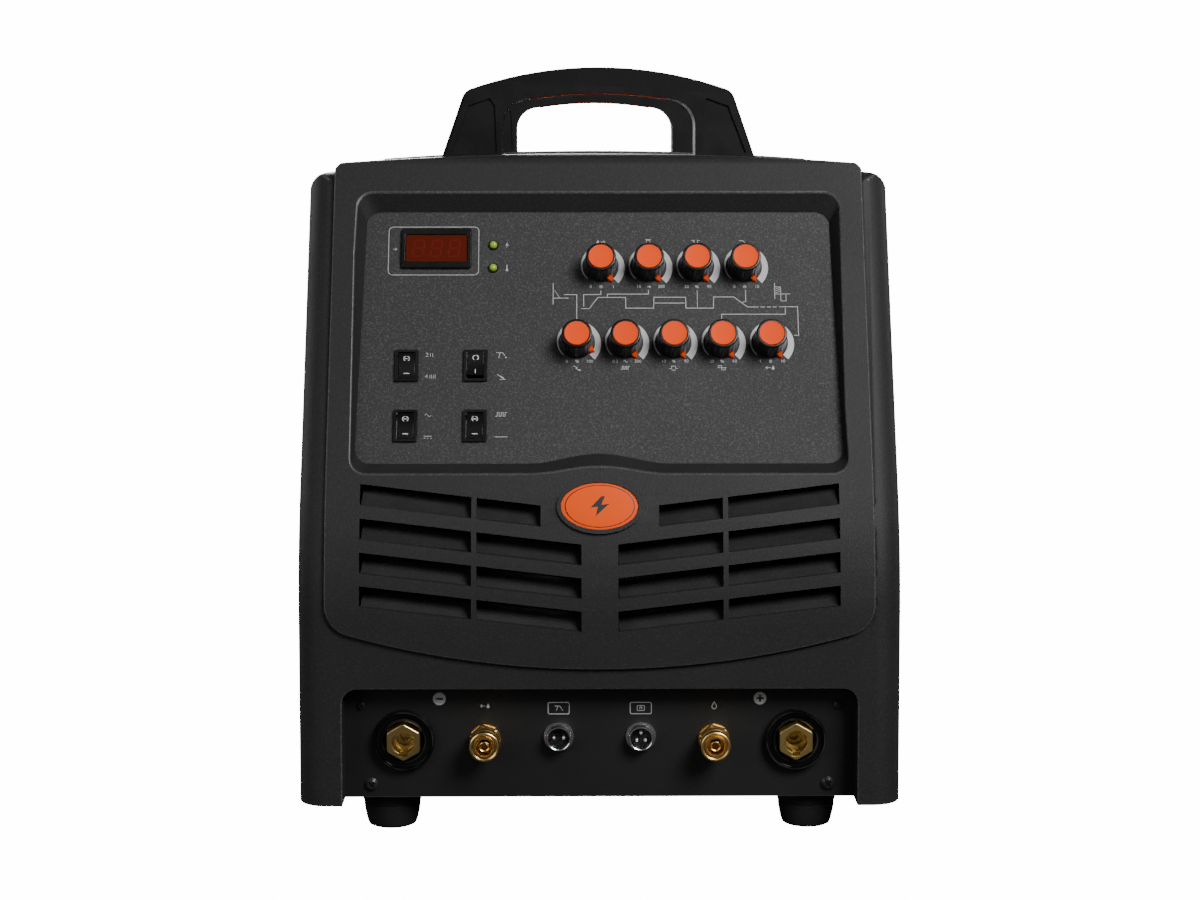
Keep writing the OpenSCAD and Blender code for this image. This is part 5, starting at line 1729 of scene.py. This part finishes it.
@dataclass
class Studio:
    """Camera, soft lights, pale floor and surroundings."""

    camera_at: Vec3 = (-0.0134, -1.731, 0.4387)
    pitch: float = 7.46
    turn: float = 0.53
    lens: float = 71.0
    backdrop: float = 15.0
    surround: float = 0.07

    def build(self) -> None:
        """Builds the studio."""
        self.build_camera()
        self.build_floor()
        self.build_world(self.backdrop, self.surround)
        self.soft_box("key", (1.0, -1.65, 1.5), (0.0, -0.2, 0.25), 0.9, 54.0)
        self.soft_box("fill", (-1.5, -1.7, 0.85), (0.0, -0.2, 0.25), 1.2, 9.0)
        self.soft_box("left", (-2.2, 0.9, 0.9), (0.0, 0.0, 0.2), 1.2, 13.0)
        self.soft_box("right", (2.2, 1.3, 0.9), (0.0, 0.0, 0.2), 1.2, 8.0)
        self.soft_box("back", (-0.6, 2.0, 1.2), (0.0, 0.2, 0.25), 1.2, 95.0)

    def build_camera(self) -> None:
        """A long lens in front of the machine, a little above its middle."""
        data = bpy.data.cameras.new("camera")
        data.lens, data.sensor_width = self.lens, 36.0
        data.clip_start, data.clip_end = 0.05, 50.0
        camera = bpy.data.objects.new("camera", data)
        camera.location = self.camera_at
        camera.rotation_euler = (math.radians(90 - self.pitch), 0.0, math.radians(-self.turn))
        bpy.context.scene.collection.objects.link(camera)
        bpy.context.scene.camera = camera

    def build_floor(self) -> None:
        """A wide white floor that curves up behind: z = r - sqrt(r^2 - y^2) past its flat part."""
        y = np.concatenate([np.linspace(-6, 3, 8), 3 + 3 * np.sin(np.linspace(0.1, math.pi / 2, 16))])
        z = np.concatenate([np.zeros(8), 3 - 3 * np.cos(np.linspace(0.1, math.pi / 2, 16))])
        y, z = np.append(y, 6.0), np.append(z, 8.0)
        x = np.array([-9.0, 9.0])
        points = np.stack([np.column_stack([np.full(len(y), v), y, z]) for v in x], 1) * 1000
        shape = grid(points)
        mesh = bpy.data.meshes.new("floor")
        mesh.from_pydata((shape.points * MM).tolist(), [], shape.faces)
        mesh.shade_smooth()
        floor = bpy.data.objects.new("floor", mesh)
        material = bpy.data.materials.new("floor_paint")
        material.use_nodes = True
        tree = material.node_tree
        tree.nodes.clear()
        paint = add_node(tree, "ShaderNodeBsdfDiffuse")
        paint.inputs["Color"].default_value = (0.06, 0.06, 0.06, 1)
        lit = add_node(tree, "ShaderNodeEmission")
        lit.inputs["Strength"].default_value = self.backdrop
        both = add_node(tree, "ShaderNodeAddShader", {0: paint.outputs[0], 1: lit.outputs[0]}).outputs[0]
        seen = add_node(tree, "ShaderNodeLightPath").outputs["Is Camera Ray"]
        shown = add_node(tree, "ShaderNodeMixShader", {0: seen, 1: paint.outputs[0], 2: both}).outputs[0]
        add_node(tree, "ShaderNodeOutputMaterial", {"Surface": shown})
        mesh.materials.append(material)
        bpy.context.scene.collection.objects.link(floor)

    @staticmethod
    def build_world(seen: float, felt: float) -> None:
        """White surroundings, bright to look at and dim in what they light.

        Args:
            seen: strength behind the machine.
            felt: strength in its light and reflections.
        """
        world = bpy.data.worlds.new("surroundings")
        world.use_nodes = True
        tree = world.node_tree
        tree.nodes.clear()
        shades = []
        for strength in (felt, seen):
            shade = add_node(tree, "ShaderNodeBackground")
            shade.inputs["Color"].default_value = (1, 1, 1, 1)
            shade.inputs["Strength"].default_value = strength
            shades.append(shade.outputs[0])
        ray = add_node(tree, "ShaderNodeLightPath").outputs["Is Camera Ray"]
        mixed = add_node(tree, "ShaderNodeMixShader", {0: ray, 1: shades[0], 2: shades[1]}).outputs[0]
        add_node(tree, "ShaderNodeOutputWorld", {"Surface": mixed})
        bpy.context.scene.world = world

    @staticmethod
    def soft_box(name: str, at: Vec3, to: Vec3, size: float, power: float) -> None:
        """A square area light aimed at a point.

        Args:
            name: of the light.
            at: its place.
            to: the point.
            size: of its side.
            power: in watts.
        """
        data = bpy.data.lights.new(name, "AREA")
        data.shape, data.size, data.energy = "SQUARE", size, power
        lamp = bpy.data.objects.new(name, data)
        lamp.location = at
        aim = np.array(to) - np.array(at)
        flat = float(np.hypot(aim[0], aim[1]))
        lamp.rotation_euler = (math.pi / 2 - math.atan2(-aim[2], flat), 0.0, math.atan2(-aim[0], aim[1]))
        bpy.context.scene.collection.objects.link(lamp)


def main() -> None:
    """Builds the studio and each sub-assembly."""
    logging.basicConfig(level=logging.INFO, format="%(name)s %(message)s")
    Studio().build()
    for part in (Case(), ControlFace(), Knobs(), SocketBay(), Handles(), Rear(), Inside()):
        LOG.info("building %s", type(part).__name__)
        part.build()


if __name__ == "__main__":
    main()
